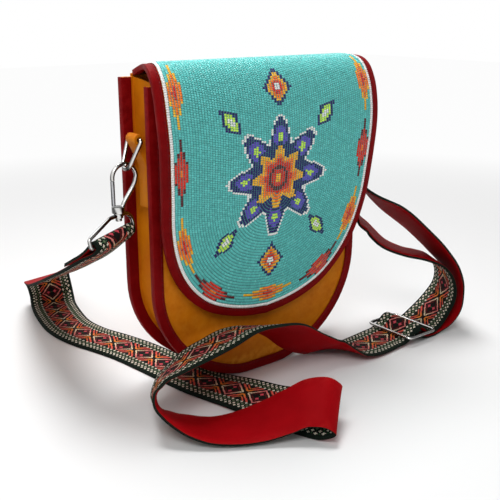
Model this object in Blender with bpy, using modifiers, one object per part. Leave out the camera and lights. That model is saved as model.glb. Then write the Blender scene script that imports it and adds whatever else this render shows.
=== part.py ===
"""Beaded shoulder bag: a flat leather body with a beaded flap, side rings, snap hooks and a woven strap.

Units are metres and +Z is up. The bag stands on the flat middle of its rounded bottom, and the flap
faces -Y. Everything is built round the bag's middle plane at y = 0 and moved at the end, so that the
origin is on the flat foot of the front binding.
"""
import math

import bmesh
import bpy
from mathutils import Matrix, Vector

# Body: half width, depth, the height where the straight sides turn into the round bottom
BODY_HALF_WIDTH = 0.0885
BODY_HALF_DEPTH = 0.018
ROUND_START = 0.075
ROUND_DROP = 0.0765
FRONT_TOP = 0.2060
BACK_TOP = 0.2098
ARC_STEPS = 40

# Leather thicknesses and the gap left between stitched layers
LAYER_GAP = 0.0003
BINDING_LEATHER = 0.0007
PANEL_LEATHER = 0.0013
GUSSET_LEATHER = 0.0012
BINDING_WIDTH = 0.0070
FLANGE_WIDTH = 0.0092

# Flap: leather, bead layer and the profile of its outer face as (y, z), from the seam to the tip
FLAP_LEATHER = 0.0014
BEAD_LAYER = 0.0012
MOTIF_LAYER = 0.0005
SEAM_CLEARANCE = 0.0016
FLAP_PROFILE = [
    (0.0105, 0.2166), (0.0030, 0.2190), (-0.0060, 0.2202), (-0.0144, 0.2203), (-0.0209, 0.2187), (-0.0264, 0.2145),
    (-0.0319, 0.2045), (-0.0354, 0.1900), (-0.0369, 0.1740), (-0.0358, 0.1540), (-0.0337, 0.1330),
    (-0.0298, 0.1060), (-0.0264, 0.0810), (-0.0243, 0.0620), (-0.0236, 0.0432),
]
FLAP_SEAM_INSET = 0.0085
FLAP_SEAM_HALF_WIDTH = BODY_HALF_WIDTH - FLAP_SEAM_INSET
FLAP_BINDING_WIDTH = 0.0058
FLAP_HALF_WIDTHS = [
    (0.0180, 0.0820), (0.0280, 0.0868), (0.0385, 0.0900), (0.0500, 0.0912), (0.0665, 0.0918), (0.0855, 0.0910),
    (0.1130, 0.0895), (0.1335, 0.0878), (0.1490, 0.0840), (0.1625, 0.0779), (0.1770, 0.0666), (0.1875, 0.0530),
    (0.1947, 0.0352), (0.1986, 0.0183), (0.2005, 0.0),
]
FLAP_STEPS = 5
FIELD_START = 0.0045
EDGE_BEAD_WIDTH = 0.0018

# Border motifs: (half width out, distance along the flap, turn from the flap's length in degrees)
MOTIF_LENGTH = 0.0400
MOTIF_WIDTH = 0.0105
MOTIF_LANES = 5
BORDER_MOTIFS = [
    ("side_top", 0.0775, 0.0605, 0.0),
    ("side_high", 0.0777, 0.1088, 0.0),
    ("side_low", 0.0725, 0.1583, -17.0),
    ("corner", 0.0475, 0.1935, -56.0),
]
TIP_MOTIF_AT = 0.2065

# Central medallion: a ringed eight-point star with leaf diamonds round it
STAR_AT = 0.121
STAR_POINTS = 8
STAR_EYE_RADIUS = 0.0085
STAR_RINGS = [("inner", 0.0180, 0.0040), ("outer", 0.0320, 0.0080), ("rim", 0.0345, 0.0080)]
STAR_LEAF_DISTANCE = 0.0565
STAR_LEAF_LENGTH = 0.0230
STAR_LEAF_WIDTH = 0.0110
BUD_DISTANCE = 0.0600
BUD_LENGTH = 0.0260
BUD_WIDTH = 0.0200
BUD_CORE = 0.50

# Side hardware: the tab's loop holds the ring's bar, and the hook's arc passes over the ring's foot
WIRE_RADIUS = 0.0013
WIRE_PLAY = 0.0004
TAB_WIDTH = 0.0108
TAB_LEATHER = 0.0018
RING_BAR_INSET = 0.0003
RING_BAR_X = BODY_HALF_WIDTH - RING_BAR_INSET
RING_BAR_Z = 0.1731
TAB_THROAT = 0.0150
TAB_MERGE = RING_BAR_Z - TAB_THROAT
TAB_TAIL = 0.0290
TAB_END = TAB_MERGE - TAB_TAIL
RING_BAR_HALF = 0.0080
RING_CORNER = 0.0017
RING_FOOT_HALF = 0.0050
RING_FOOT_OUT = 0.0076
RING_FOOT_X = RING_BAR_X + RING_FOOT_OUT
RING_FOOT_DROP = 0.0180
RING_FOOT_Z = RING_BAR_Z - RING_FOOT_DROP
HOOK_OUT = 0.0063
HOOK_X = RING_FOOT_X + HOOK_OUT
HOOK_DROP = 0.0231
HOOK_Z = RING_FOOT_Z - HOOK_DROP
HOOK_WIRE_RADIUS = 0.0014
HOOK_ARC_RADIUS = 0.0084
HOOK_ARC_X = 0.0052
HOOK_ARC_Z = 0.0180
HOOK_NOSE_Z = 0.0168
GATE_FOOT_Z = 0.0022
COLLAR_RADIUS = 0.0042
COLLAR_HEIGHT = 0.0040
STEM_RADIUS = 0.0011
STEM_PLAY = 0.0003
STEM_HEAD_RADIUS = 0.0021
STEM_HEAD_HEIGHT = 0.0016
EYE_BOSS_RADIUS = 0.0030
EYE_BOSS_HEIGHT = 0.0030
STEM_LENGTH = EYE_BOSS_HEIGHT + 2 * LAYER_GAP + STEM_HEAD_HEIGHT / 2
EYE_TOP_HALF = 0.0085
EYE_SHOULDER = 0.0058
EYE_BEND = 0.0016

# Strap: the woven strip with its leather back, its attachments and the slider it ends on
STRAP_WIDTH = 0.0380
STRAP_THICKNESS = 0.0022
STRAP_SIDE_PLAY = 0.0008
STRAP_STEPS = 3
BAR_DROP = 0.0180
LEFT_BAR_OUT = 0.0069
LEFT_BAR = (-HOOK_X - LEFT_BAR_OUT, -0.0044, HOOK_Z - BAR_DROP)
LEFT_BAR_WAY = (0.90, 0.37, 0.10)
LEFT_RUN_WAY = (-0.25, 0.75, -0.61)
RIGHT_BAR_OUT = 0.0079
RIGHT_BAR = (HOOK_X + RIGHT_BAR_OUT, -0.0024, HOOK_Z - BAR_DROP)
RIGHT_BAR_WAY = (0.71, 0.63, -0.32)
SLIDER_AT = (0.1250, -0.0404, 0.0073)
SLIDER_LENGTH = 0.0300
SEWN_TAIL = 0.0320

# The strap's route in millimetres, chosen by hand: middle (x, y, z), then the way across the strap
ROUTE_TO_RIGHT_EYE = [
    (-112, 6.6, 103, 0.92, 0.33, 0.05), (-113, 27.6, 91, 0.95, 0.25, 0.05), (-111, 57.6, 77, 0.96, 0.20, 0.06),
    (-104, 91.6, 63, 0.97, 0.17, 0.06), (-95, 125.6, 50, 0.97, 0.14, 0.06), (-84, 159.6, 39, 0.98, 0.08, 0.06),
    (-73, 186.6, 29, 0.98, -0.02, 0.07), (-65, 201.6, 18, 0.97, -0.12, 0.08), (-63, 202.6, 8, 0.97, -0.18, 0.06),
    (-66, 193.6, 2, 0.98, -0.20, 0.02), (-74, 162.6, 1.2, 0.99, -0.10, 0), (-78, 132.6, 1.2, 0.99, 0.10, 0),
    (-75, 107.6, 1.2, 0.96, 0.25, 0), (-68, 85.6, 1.2, 0.94, 0.33, 0), (-62, 63.6, 1.2, 0.96, 0.25, 0),
    (-57, 33.6, 1.2, 0.98, 0.12, 0), (-53, 3.6, 1.2, 0.98, 0.12, 0), (-50, -15.4, 1.2, 0.98, 0.14, 0),
    (-47, -28.4, 2.2, 0.97, 0.18, 0.04), (-42, -48.4, 4, 0.96, 0.22, 0.10), (-37, -68.4, 5, 0.95, 0.24, 0.15),
    (-32, -87.4, 7, 0.90, 0.32, 0.26), (-29, -103.4, 9, 0.80, 0.44, 0.38), (-25, -114.9, 11, 0.72, 0.54, 0.43),
    (-23, -119.9, 15, 0.68, 0.59, 0.43), (-27, -117.4, 19.3, 0.64, 0.63, 0.44), (-35, -108.4, 19, 0.62, 0.67, 0.40),
    (-45, -100.4, 13, 0.62, 0.71, 0.32), (-58, -92.4, 7, 0.68, 0.68, 0.22), (-72, -84.4, 3.5, 0.68, 0.72, 0.06),
    (-87, -74.4, 3, 0.65, 0.75, -0.10), (-97, -64.4, 6, 0.62, 0.75, -0.22), (-104, -56.4, 10, 0.58, 0.73, -0.36),
    (-108, -49.4, 15, 0.50, 0.76, -0.44), (-107, -44.4, 21, 0.40, 0.82, -0.45), (-101, -42.4, 28, 0.35, 0.85, -0.38),
    (-90, -43.4, 34, 0.30, 0.92, -0.27), (-77, -44.4, 39, 0.20, 0.95, -0.20), (-59, -44.4, 43, 0, 0.97, -0.22),
    (-38, -40.4, 45, -0.12, 0.95, -0.26), (-17, -38.1, 42, -0.20, 0.93, -0.28), (4, -37.4, 34, -0.22, 0.85, -0.42),
    (25, -35.9, 19, -0.25, 0.80, -0.50), (43, -37.4, 10, -0.20, 0.85, -0.45), (57, -40.4, 5, -0.10, 0.95, -0.25),
    (73, -42.4, 3, 0.02, 0.99, -0.05), (90, -41.4, 2.5, 0, 1, 0), (101, -40.4, 2.8, 0, 1, 0),
    (108, -40.4, 3.3, 0, 1, 0), (111.5, -40.4, 4.3, 0, 1, 0), (115, -40.4, 6, 0, 1, 0), (118.5, -40.4, 9, 0, 1, 0),
    (122, -40.4, 11.8, 0, 1, 0), (125, -40.4, 12.7, 0, 1, 0), (128, -40.4, 12.2, 0, 1, 0),
    (131.5, -40.4, 9.8, 0, 1, 0), (135, -40.4, 6.6, 0, 1, 0), (138.5, -40.4, 4.6, 0, 1, 0),
    (142, -40.4, 4.6, 0, 1, 0), (152, -40.7, 9, 0.08, 0.99, 0.02), (162, -42.9, 19, 0.26, 0.96, 0.05),
    (168, -45.9, 32, 0.38, 0.92, 0.05), (166, -46.4, 45, 0.45, 0.89, 0), (158, -43.4, 56, 0.50, 0.86, -0.05),
    (146, -38.4, 62, 0.60, 0.79, -0.10), (133, -29.4, 66, 0.70, 0.70, -0.12), (121, -18.4, 73, 0.77, 0.62, -0.14),
    (114, -8.4, 84, 0.77, 0.61, -0.17), (109, -4.9, 90.5, 0.75, 0.62, -0.22), (106.8, -3.4, 98, 0.72, 0.63, -0.27),
    (106.3, -2, 106.4, 0.71, 0.63, -0.32),
]
ROUTE_TO_SLIDER = [
    (114.4, -8.3, 112.2, 0.71, 0.63, -0.32), (120, -14.4, 106.5, 0.68, 0.60, -0.40),
    (131, -24.4, 97, 0.62, 0.56, -0.52), (145, -35.4, 82, 0.60, 0.60, -0.50), (159, -44.4, 65, 0.52, 0.76, -0.38),
    (169, -49.4, 50, 0.48, 0.84, -0.22), (174, -50.4, 35, 0.45, 0.88, -0.10), (172, -48.4, 20, 0.32, 0.95, 0),
    (163, -43.9, 8, 0.15, 0.98, 0), (152, -40.8, 3, 0.02, 1, 0), (146, -40.4, 1.5, 0, 1, 0),
    (138.5, -40.4, 1.3, 0, 1, 0), (135, -40.4, 1.6, 0, 1, 0), (131, -40.4, 2.6, 0, 1, 0), (128, -40.4, 3.8, 0, 1, 0),
]


def clear_scene():
    """Remove every object that the file opened with."""
    for obj in list(bpy.data.objects):
        bpy.data.objects.remove(obj, do_unlink=True)


def new_collection(name):
    """Make a collection in the scene."""
    collection = bpy.data.collections.new(name)
    bpy.context.scene.collection.children.link(collection)
    return collection


clear_scene()
PARTS = new_collection("beaded_shoulder_bag")
CUTTERS = new_collection("cutters")


def material(name, colour, roughness, metallic=0.0):
    """Make a Principled material."""
    mat = bpy.data.materials.new(name)
    mat.use_nodes = True
    shader = mat.node_tree.nodes["Principled BSDF"]
    shader.inputs["Base Color"].default_value = (*colour, 1.0)
    shader.inputs["Roughness"].default_value = roughness
    shader.inputs["Metallic"].default_value = metallic
    return mat


GOLD_LEATHER = material("gold_leather", (0.62, 0.27, 0.03), 0.55)
RED_LEATHER = material("red_leather", (0.30, 0.006, 0.012), 0.50)
TURQUOISE = material("turquoise_beads", (0.16, 0.56, 0.55), 0.35)
WHITE = material("white_beads", (0.85, 0.85, 0.83), 0.35)
ORANGE = material("orange_beads", (0.85, 0.26, 0.02), 0.35)
SCARLET = material("scarlet_beads", (0.55, 0.02, 0.01), 0.35)
NAVY = material("navy_beads", (0.03, 0.02, 0.16), 0.35)
LIME = material("lime_beads", (0.50, 0.75, 0.10), 0.35)
NICKEL = material("nickel", (0.72, 0.72, 0.72), 0.22, 1.0)
WOVEN = material("woven_strap", (0.10, 0.05, 0.05), 0.80)


def link(name, data, mat, collection=PARTS):
    """Make an object of mesh or curve data."""
    obj = bpy.data.objects.new(name, data)
    if mat is not None:
        data.materials.append(mat)
    collection.objects.link(obj)
    return obj


def mesh_object(name, points, faces, mat, smooth_angle=35.0):
    """Make an object from points and faces, with its faces pointing out."""
    mesh = bpy.data.meshes.new(name)
    mesh.from_pydata([tuple(p) for p in points], [], faces)
    shape = bmesh.new()
    shape.from_mesh(mesh)
    bmesh.ops.recalc_face_normals(shape, faces=shape.faces)
    shape.to_mesh(mesh)
    shape.free()
    mesh.shade_smooth()
    mesh.set_sharp_from_angle(angle=math.radians(smooth_angle))
    return link(name, mesh, mat)


def loft(name, sections, mat):
    """Join equal closed sections into one solid with flat ends."""
    count = len(sections[0])
    points = [p for section in sections for p in section]
    faces = []
    for row in range(len(sections) - 1):
        for k in range(count):
            a = row * count + k
            b = row * count + (k + 1) % count
            faces.append((a, b, b + count, a + count))
    last = (len(sections) - 1) * count
    faces.append(tuple(reversed(range(count))))
    faces.append(tuple(range(last, last + count)))
    return mesh_object(name, points, faces, mat)


def spline(points, steps):
    """Points of a smooth curve through the given points, of any dimension and spacing."""
    pts = [Vector(p) for p in points]
    gaps = [(b - a).length for a, b in zip(pts, pts[1:])]
    ways = [(b - a) / gap for a, b, gap in zip(pts, pts[1:], gaps)]
    slopes = [ways[0]]
    for i in range(1, len(pts) - 1):
        slopes.append((ways[i - 1] * gaps[i] + ways[i] * gaps[i - 1]) / (gaps[i - 1] + gaps[i]))
    slopes.append(ways[-1])
    out = []
    for i, gap in enumerate(gaps):
        for k in range(steps):
            t = k / steps
            out.append(pts[i] * (2 * t ** 3 - 3 * t * t + 1) + pts[i + 1] * (3 * t * t - 2 * t ** 3)
                       + slopes[i] * gap * (t ** 3 - 2 * t * t + t) + slopes[i + 1] * gap * (t ** 3 - t * t))
    out.append(pts[-1])
    return out


def wire_curve(name, points, radius, mat, cyclic=False, collection=PARTS):
    """A round wire through points, with filled ends."""
    curve = bpy.data.curves.new(name, "CURVE")
    curve.dimensions = "3D"
    curve.bevel_depth = radius
    curve.bevel_resolution = 3
    curve.use_fill_caps = True
    line = curve.splines.new("POLY")
    line.points.add(len(points) - 1)
    for spot, p in zip(line.points, points):
        spot.co = (*p, 1.0)
    line.use_cyclic_u = cyclic
    return link(name, curve, mat, collection)


def as_mesh(obj, weld=0.00001):
    """Turn a curve object into a mesh object with its caps welded on."""
    bpy.context.view_layer.update()
    name, matrix, mat = obj.name, obj.matrix_world.copy(), obj.data.materials[0]
    collection = obj.users_collection[0]
    mesh = bpy.data.meshes.new_from_object(obj.evaluated_get(bpy.context.evaluated_depsgraph_get()))
    bpy.data.objects.remove(obj, do_unlink=True)
    shape = bmesh.new()
    shape.from_mesh(mesh)
    bmesh.ops.remove_doubles(shape, verts=shape.verts, dist=weld)
    bmesh.ops.recalc_face_normals(shape, faces=shape.faces)
    shape.to_mesh(mesh)
    shape.free()
    mesh.materials.clear()
    solid = link(name, mesh, mat, collection)
    solid.matrix_world = matrix
    return solid


def cylinder(name, radius, height, middle, way, mat, collection=PARTS, sides=20):
    """A cylinder about a middle point, along a direction."""
    mesh = bpy.data.meshes.new(name)
    shape = bmesh.new()
    bmesh.ops.create_cone(shape, cap_ends=True, segments=sides, radius1=radius, radius2=radius, depth=height)
    shape.to_mesh(mesh)
    shape.free()
    obj = link(name, mesh, mat, collection)
    turn = Vector((0, 0, 1)).rotation_difference(Vector(way)).to_matrix().to_4x4()
    obj.matrix_world = Matrix.Translation(Vector(middle)) @ turn
    return obj


def combine(target, tool, operation):
    """Join a tool to a solid, or cut it away, with the exact solver."""
    change = target.modifiers.new(operation.lower() + "_" + tool.name, "BOOLEAN")
    change.operation = operation
    change.solver = "EXACT"
    change.object = tool
    tool.hide_render = True
    tool.display_type = "WIRE"


def rim(inset, top):
    """Points (x, z) of the U-shaped outline, set in from the edge, from the left top to the right top."""
    half, drop = BODY_HALF_WIDTH - inset, ROUND_DROP - inset
    points = [(-half, top), (-half, ROUND_START)]
    for i in range(1, ARC_STEPS):
        angle = math.pi + math.pi * i / ARC_STEPS
        points.append((half * math.cos(angle), max(ROUND_START + drop * math.sin(angle), inset)))
    points += [(half, ROUND_START), (half, top)]
    return points


def swept_rim(name, profile, top_at, mat):
    """Sweep a closed profile of (inset, y) points round the U outline."""
    lines = [rim(inset, top_at(y)) for inset, y in profile]
    sections = []
    for spot in range(len(lines[0])):
        sections.append([Vector((line[spot][0], y, line[spot][1])) for line, (_, y) in zip(lines, profile)])
    return loft(name, sections, mat)


# Faces of the stitched edge, from the outside in: binding, panel, gusset flange, binding
PANEL_FACE = BODY_HALF_DEPTH - BINDING_LEATHER - LAYER_GAP
FLANGE_FACE = PANEL_FACE - PANEL_LEATHER - LAYER_GAP
BINDING_BACK = FLANGE_FACE - GUSSET_LEATHER - LAYER_GAP - BINDING_LEATHER
EDGE_INSET = BINDING_LEATHER + LAYER_GAP


def build_bindings():
    """The two red bindings, folded round the stitched edges."""
    inner = BINDING_BACK + BINDING_LEATHER
    outer = BODY_HALF_DEPTH - BINDING_LEATHER
    fold = [
        (0, BODY_HALF_DEPTH), (BINDING_WIDTH, BODY_HALF_DEPTH), (BINDING_WIDTH, outer), (BINDING_LEATHER, outer),
        (BINDING_LEATHER, inner), (BINDING_WIDTH, inner), (BINDING_WIDTH, BINDING_BACK), (0, BINDING_BACK),
    ]
    swept_rim("back_binding", fold, lambda y: BACK_TOP, RED_LEATHER)
    swept_rim("front_binding", [(d, -y) for d, y in fold], lambda y: FRONT_TOP, RED_LEATHER)


def build_gusset():
    """The gold gusset: a web round the sides and bottom with flanges turned outward."""
    web = FLANGE_WIDTH
    back = FLANGE_FACE - GUSSET_LEATHER
    channel = [
        (EDGE_INSET, -FLANGE_FACE), (web + GUSSET_LEATHER, -FLANGE_FACE), (web + GUSSET_LEATHER, FLANGE_FACE),
        (EDGE_INSET, FLANGE_FACE), (EDGE_INSET, back), (web, back), (web, -back), (EDGE_INSET, -back),
    ]
    slope = (BACK_TOP - FRONT_TOP) / (2 * FLANGE_FACE)
    middle = (BACK_TOP + FRONT_TOP) / 2
    swept_rim("gusset", channel, lambda y: middle + slope * y, GOLD_LEATHER)


def flat_outline(name, points, thickness, mat):
    """A flat sheet cut to an outline, lying in its own XY plane."""
    curve = bpy.data.curves.new(name, "CURVE")
    curve.dimensions = "2D"
    curve.fill_mode = "BOTH"
    curve.extrude = thickness / 2
    line = curve.splines.new("POLY")
    line.points.add(len(points) - 1)
    for spot, (x, y) in zip(line.points, points):
        spot.co = (x, y, 0.0, 1.0)
    line.use_cyclic_u = True
    return link(name, curve, mat)


def build_panels():
    """The front and back leather panels, standing in the XZ plane."""
    for name, side, top in (("back_panel", 1, BACK_TOP), ("front_panel", -1, FRONT_TOP)):
        panel = flat_outline(name, rim(EDGE_INSET, top), PANEL_LEATHER, GOLD_LEATHER)
        panel.rotation_euler = (math.pi / 2, 0, 0)
        panel.location = (0, side * (PANEL_FACE - PANEL_LEATHER / 2), 0)


# Depths below the flap's outer face: beads, then leather; the binding wraps the leather's edge
LEATHER_TOP = MOTIF_LAYER + LAYER_GAP + BEAD_LAYER + LAYER_GAP
LEATHER_BACK = LEATHER_TOP + FLAP_LEATHER
HINGE_Y = PANEL_FACE - PANEL_LEATHER / 2
HINGE_Z = BACK_TOP + SEAM_CLEARANCE


def flap_line():
    """The flap's outer face in the YZ plane: points, the way inward and lengths along it."""
    first = (FLAP_PROFILE[0][0] - HINGE_Y, FLAP_PROFILE[0][1] - HINGE_Z)
    length = math.hypot(*first)
    depth = LEATHER_TOP + FLAP_LEATHER / 2
    start = (HINGE_Y - first[1] / length * -depth, HINGE_Z - first[0] / length * depth)
    points = spline([start] + FLAP_PROFILE, 4)
    ways, lengths = [], [0.0]
    for i, p in enumerate(points):
        way = (points[min(i + 1, len(points) - 1)] - points[max(i - 1, 0)]).normalized()
        ways.append(Vector((-way[1], way[0])))
        if i:
            lengths.append(lengths[-1] + (p - points[i - 1]).length)
    return points, ways, lengths


LINE_POINTS, LINE_WAYS, LINE_LENGTHS = flap_line()
FLAP_LENGTH = LINE_LENGTHS[-1]


def on_flap(x, along, depth):
    """A point on the flap, a depth below its outer face."""
    spot = min(max(along, 0.0), FLAP_LENGTH)
    i = 0
    while i < len(LINE_LENGTHS) - 2 and LINE_LENGTHS[i + 1] < spot:
        i += 1
    t = (spot - LINE_LENGTHS[i]) / (LINE_LENGTHS[i + 1] - LINE_LENGTHS[i])
    base = LINE_POINTS[i].lerp(LINE_POINTS[i + 1], t)
    way = LINE_WAYS[i].lerp(LINE_WAYS[i + 1], t).normalized()
    y, z = base + way * depth
    return Vector((x, y, z - max(along - FLAP_LENGTH, 0.0)))


def flap_outline():
    """The flap's right half outline as (half width, along), from the seam to the middle of the tip."""
    scale = FLAP_LENGTH / FLAP_HALF_WIDTHS[-1][0]
    return spline([(FLAP_SEAM_HALF_WIDTH, 0.0)] + [(w, a * scale) for a, w in FLAP_HALF_WIDTHS], FLAP_STEPS)


OUTLINE = flap_outline()


def inset_outline(inset):
    """The right half outline moved inward."""
    out = []
    for i, p in enumerate(OUTLINE):
        if i == len(OUTLINE) - 1:
            way = Vector((-1.0, 0.0))
        else:
            way = (OUTLINE[i + 1] - OUTLINE[max(i - 1, 0)]).normalized()
        out.append(Vector((max(p[0] - way[1] * inset, 0.0), p[1] + way[0] * inset)))
    return out


def flap_sheet(name, inset, start, depth, thickness, mat):
    """A sheet of the flap within an inset outline, from a starting line to the tip."""
    rows = [(w, a) for w, a in inset_outline(inset) if a > start + 0.001]
    first_width = next(w for w, a in inset_outline(inset) if a > start)
    rows = [(first_width, start)] + rows
    points, faces = [], []
    for width, along in rows[:-1]:
        points += [on_flap(x, along, depth) for x in (-width, 0.0, width)]
    points.append(on_flap(0.0, rows[-1][1], depth))
    tip = len(points) - 1
    for row in range(len(rows) - 2):
        for k in range(2):
            a = row * 3 + k
            faces.append((a, a + 3, a + 4, a + 1))
    edge = (len(rows) - 2) * 3
    faces += [(edge, tip, edge + 1), (edge + 1, tip, edge + 2)]
    return sheet_object(name, points, faces, thickness, mat)


def sheet_object(name, points, faces, thickness, mat):
    """An open surface on the flap's outer side, thickened toward the bag."""
    mesh = bpy.data.meshes.new(name)
    mesh.from_pydata([tuple(p) for p in points], [], faces)
    shape = bmesh.new()
    shape.from_mesh(mesh)
    bmesh.ops.recalc_face_normals(shape, faces=shape.faces)
    shape.normal_update()
    lead = max(shape.faces, key=lambda f: f.calc_area())
    if lead.normal.dot(Vector((0, -1, 0.4))) < 0:
        bmesh.ops.reverse_faces(shape, faces=shape.faces)
    shape.to_mesh(mesh)
    shape.free()
    obj = link(name, mesh, mat)
    wall = obj.modifiers.new("wall", "SOLIDIFY")
    wall.thickness = thickness
    wall.offset = -1.0
    wall.use_even_offset = False
    return obj


def swept_edge(name, profile, start, mat):
    """Sweep a profile of (inset, depth) points round the flap's edge, from a starting line."""
    lines = {inset: inset_outline(inset) for inset in {p[0] for p in profile}}
    first = next(i for i, p in enumerate(OUTLINE) if p[1] > start)
    half = []
    for i in range(first, len(OUTLINE)):
        half.append([(lines[inset][i][0], lines[inset][i][1], depth) for inset, depth in profile])
    right = [[on_flap(x, a, d) for x, a, d in section] for section in half]
    left = [[on_flap(-x, a, d) for x, a, d in section] for section in half[:-1]]
    return loft(name, left + right[::-1], mat)


def build_flap():
    """The flap's leather, its binding, the bead field and the white bead edge."""
    flap = [flap_sheet("flap_panel", EDGE_INSET, 0.0, LEATHER_TOP, FLAP_LEATHER, GOLD_LEATHER)]
    top = LEATHER_TOP - LAYER_GAP
    back = LEATHER_BACK + LAYER_GAP
    fold = [
        (0.0, top - BINDING_LEATHER), (FLAP_BINDING_WIDTH, top - BINDING_LEATHER), (FLAP_BINDING_WIDTH, top),
        (BINDING_LEATHER, top), (BINDING_LEATHER, back), (FLAP_BINDING_WIDTH, back),
        (FLAP_BINDING_WIDTH, back + BINDING_LEATHER), (0.0, back + BINDING_LEATHER),
    ]
    flap.append(swept_edge("flap_binding", fold, 0.001, RED_LEATHER))
    edge_in = FLAP_BINDING_WIDTH + LAYER_GAP
    bead_top = MOTIF_LAYER + LAYER_GAP
    edge_out = edge_in + EDGE_BEAD_WIDTH
    row = [(edge_in, bead_top), (edge_out, bead_top), (edge_out, top), (edge_in, top)]
    flap.append(swept_edge("bead_edging", row, FIELD_START, WHITE))
    field_inset = edge_out + LAYER_GAP
    flap.append(flap_sheet("bead_field", field_inset, FIELD_START, bead_top, BEAD_LAYER, TURQUOISE))
    return flap


def plate(name, middle, turn, outline_rows, mat):
    """A thin raised patch on the flap. Its rows are (distance along, half width) before the turn."""
    cos, sin = math.cos(turn), math.sin(turn)
    points, faces = [], []
    for along, half in outline_rows:
        for across in (-half, 0.0, half):
            x = middle[0] + across * cos - along * sin
            a = middle[1] + across * sin + along * cos
            points.append(on_flap(x, a, 0.0))
    for row in range(len(outline_rows) - 1):
        for k in range(2):
            a = row * 3 + k
            faces.append((a, a + 3, a + 4, a + 1))
    return sheet_object(name, points, faces, MOTIF_LAYER, mat)


def stepped_rows(length, width, lanes):
    """Rows of a diamond with stepped sides, from one end to the other."""
    rows = []
    steep = length * 0.0004
    for step in range(lanes):
        half = width / 2 * (step + 1) / lanes
        low = -length / 2 + step * length / (2 * lanes)
        high = low + length / (2 * lanes)
        rows += [(low + steep, half), (high - steep, half)]
    return rows + [(-along, half) for along, half in reversed(rows)]


def build_motifs():
    """The stepped diamonds that run round the border of the bead field."""
    motifs = []
    rows = stepped_rows(MOTIF_LENGTH, MOTIF_WIDTH, MOTIF_LANES)
    for order, (name, out, along, turn) in enumerate(BORDER_MOTIFS):
        mat = ORANGE if order % 2 == 0 else SCARLET
        angle = math.radians(-turn)
        motifs.append(plate("motif_" + name + "_right", (out, along), angle, rows, mat))
        motifs.append(plate("motif_" + name + "_left", (-out, along), -angle, rows, mat))
    motifs.append(plate("motif_tip", (0.0, TIP_MOTIF_AT), math.pi / 2, rows, ORANGE))
    return motifs


def star_edge(radius, wave, angle):
    """Radius of a star outline at an angle."""
    return radius + wave * math.cos(STAR_POINTS * angle)


def star_band(name, inner, outer, mat, spokes=64, rings=4):
    """A closed star-shaped band between two outlines (radius, wave)."""
    points, faces = [], []
    for ring in range(rings + 1):
        t = ring / rings
        for k in range(spokes):
            angle = 2 * math.pi * k / spokes
            r = (1 - t) * star_edge(*inner, angle) + t * star_edge(*outer, angle)
            points.append(on_flap(r * math.sin(angle), STAR_AT - r * math.cos(angle), 0.0))
    for ring in range(rings):
        for k in range(spokes):
            a = ring * spokes + k
            b = ring * spokes + (k + 1) % spokes
            faces.append((a, b, b + spokes, a + spokes))
    return sheet_object(name, points, faces, MOTIF_LAYER, mat)


def build_medallion():
    """The star medallion with its leaf diamonds and two buds."""
    pieces = []
    spokes = 32
    points = [on_flap(0.0, STAR_AT, 0.0)]
    for k in range(spokes):
        angle = 2 * math.pi * k / spokes
        points.append(on_flap(STAR_EYE_RADIUS * math.sin(angle), STAR_AT - STAR_EYE_RADIUS * math.cos(angle), 0.0))
    faces = [(0, 1 + k, 1 + (k + 1) % spokes) for k in range(spokes)]
    pieces.append(sheet_object("star_eye", points, faces, MOTIF_LAYER, SCARLET))
    inner = (STAR_EYE_RADIUS + LAYER_GAP, 0.0)
    for (name, radius, wave), mat in zip(STAR_RINGS, (ORANGE, NAVY, WHITE)):
        pieces.append(star_band("star_" + name, inner, (radius, wave), mat))
        inner = (radius + LAYER_GAP, wave)
    leaf = stepped_rows(STAR_LEAF_LENGTH, STAR_LEAF_WIDTH, 4)
    for k in range(4):
        angle = math.radians(45 + 90 * k)
        middle = (STAR_LEAF_DISTANCE * math.sin(angle), STAR_AT - STAR_LEAF_DISTANCE * math.cos(angle))
        pieces.append(plate("star_leaf_%d" % (k + 1), middle, angle, leaf, LIME))
    bud = stepped_rows(BUD_LENGTH, BUD_WIDTH, 5)
    for name, side in (("top", -1), ("foot", 1)):
        middle = (0.0, STAR_AT + side * BUD_DISTANCE)
        pieces.append(plate("star_bud_" + name, middle, 0.0, bud, ORANGE))
    return pieces


def unit(values):
    """A direction of length one."""
    return Vector(values).normalized()


def build_tab(label, side):
    """The leather tab: a loop round the ring's bar, its two ends sewn flat on the gusset."""
    face = BODY_HALF_WIDTH - FLANGE_WIDTH + LAYER_GAP
    inner = WIRE_RADIUS + WIRE_PLAY
    outer = inner + TAB_LEATHER
    outline = [(face, TAB_END), (face, TAB_MERGE)]
    outline += [(RING_BAR_X + outer * math.cos(a), RING_BAR_Z + outer * math.sin(a))
                for a in (math.radians(v) for v in range(205, -61, -15))]
    outline += [(face + 2 * TAB_LEATHER, TAB_MERGE - 0.002), (face + 2 * TAB_LEATHER, TAB_END)]
    tab = flat_outline(label + "_tab", [(side * x, z) for x, z in outline], TAB_WIDTH, GOLD_LEATHER)
    hole = tab.data.splines.new("POLY")
    hole.points.add(19)
    for k, spot in enumerate(hole.points):
        a = 2 * math.pi * k / 20
        spot.co = (side * (RING_BAR_X + inner * math.cos(a)), RING_BAR_Z + inner * math.sin(a), 0.0, 1.0)
    hole.use_cyclic_u = True
    tab.rotation_euler = (math.pi / 2, 0, 0)


def arc(middle, radius, start, end, steps):
    """Points (u, v) of an arc, angles in degrees."""
    out = []
    for k in range(steps + 1):
        a = math.radians(start + (end - start) * k / steps)
        out.append((middle[0] + radius * math.cos(a), middle[1] + radius * math.sin(a)))
    return out


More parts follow.
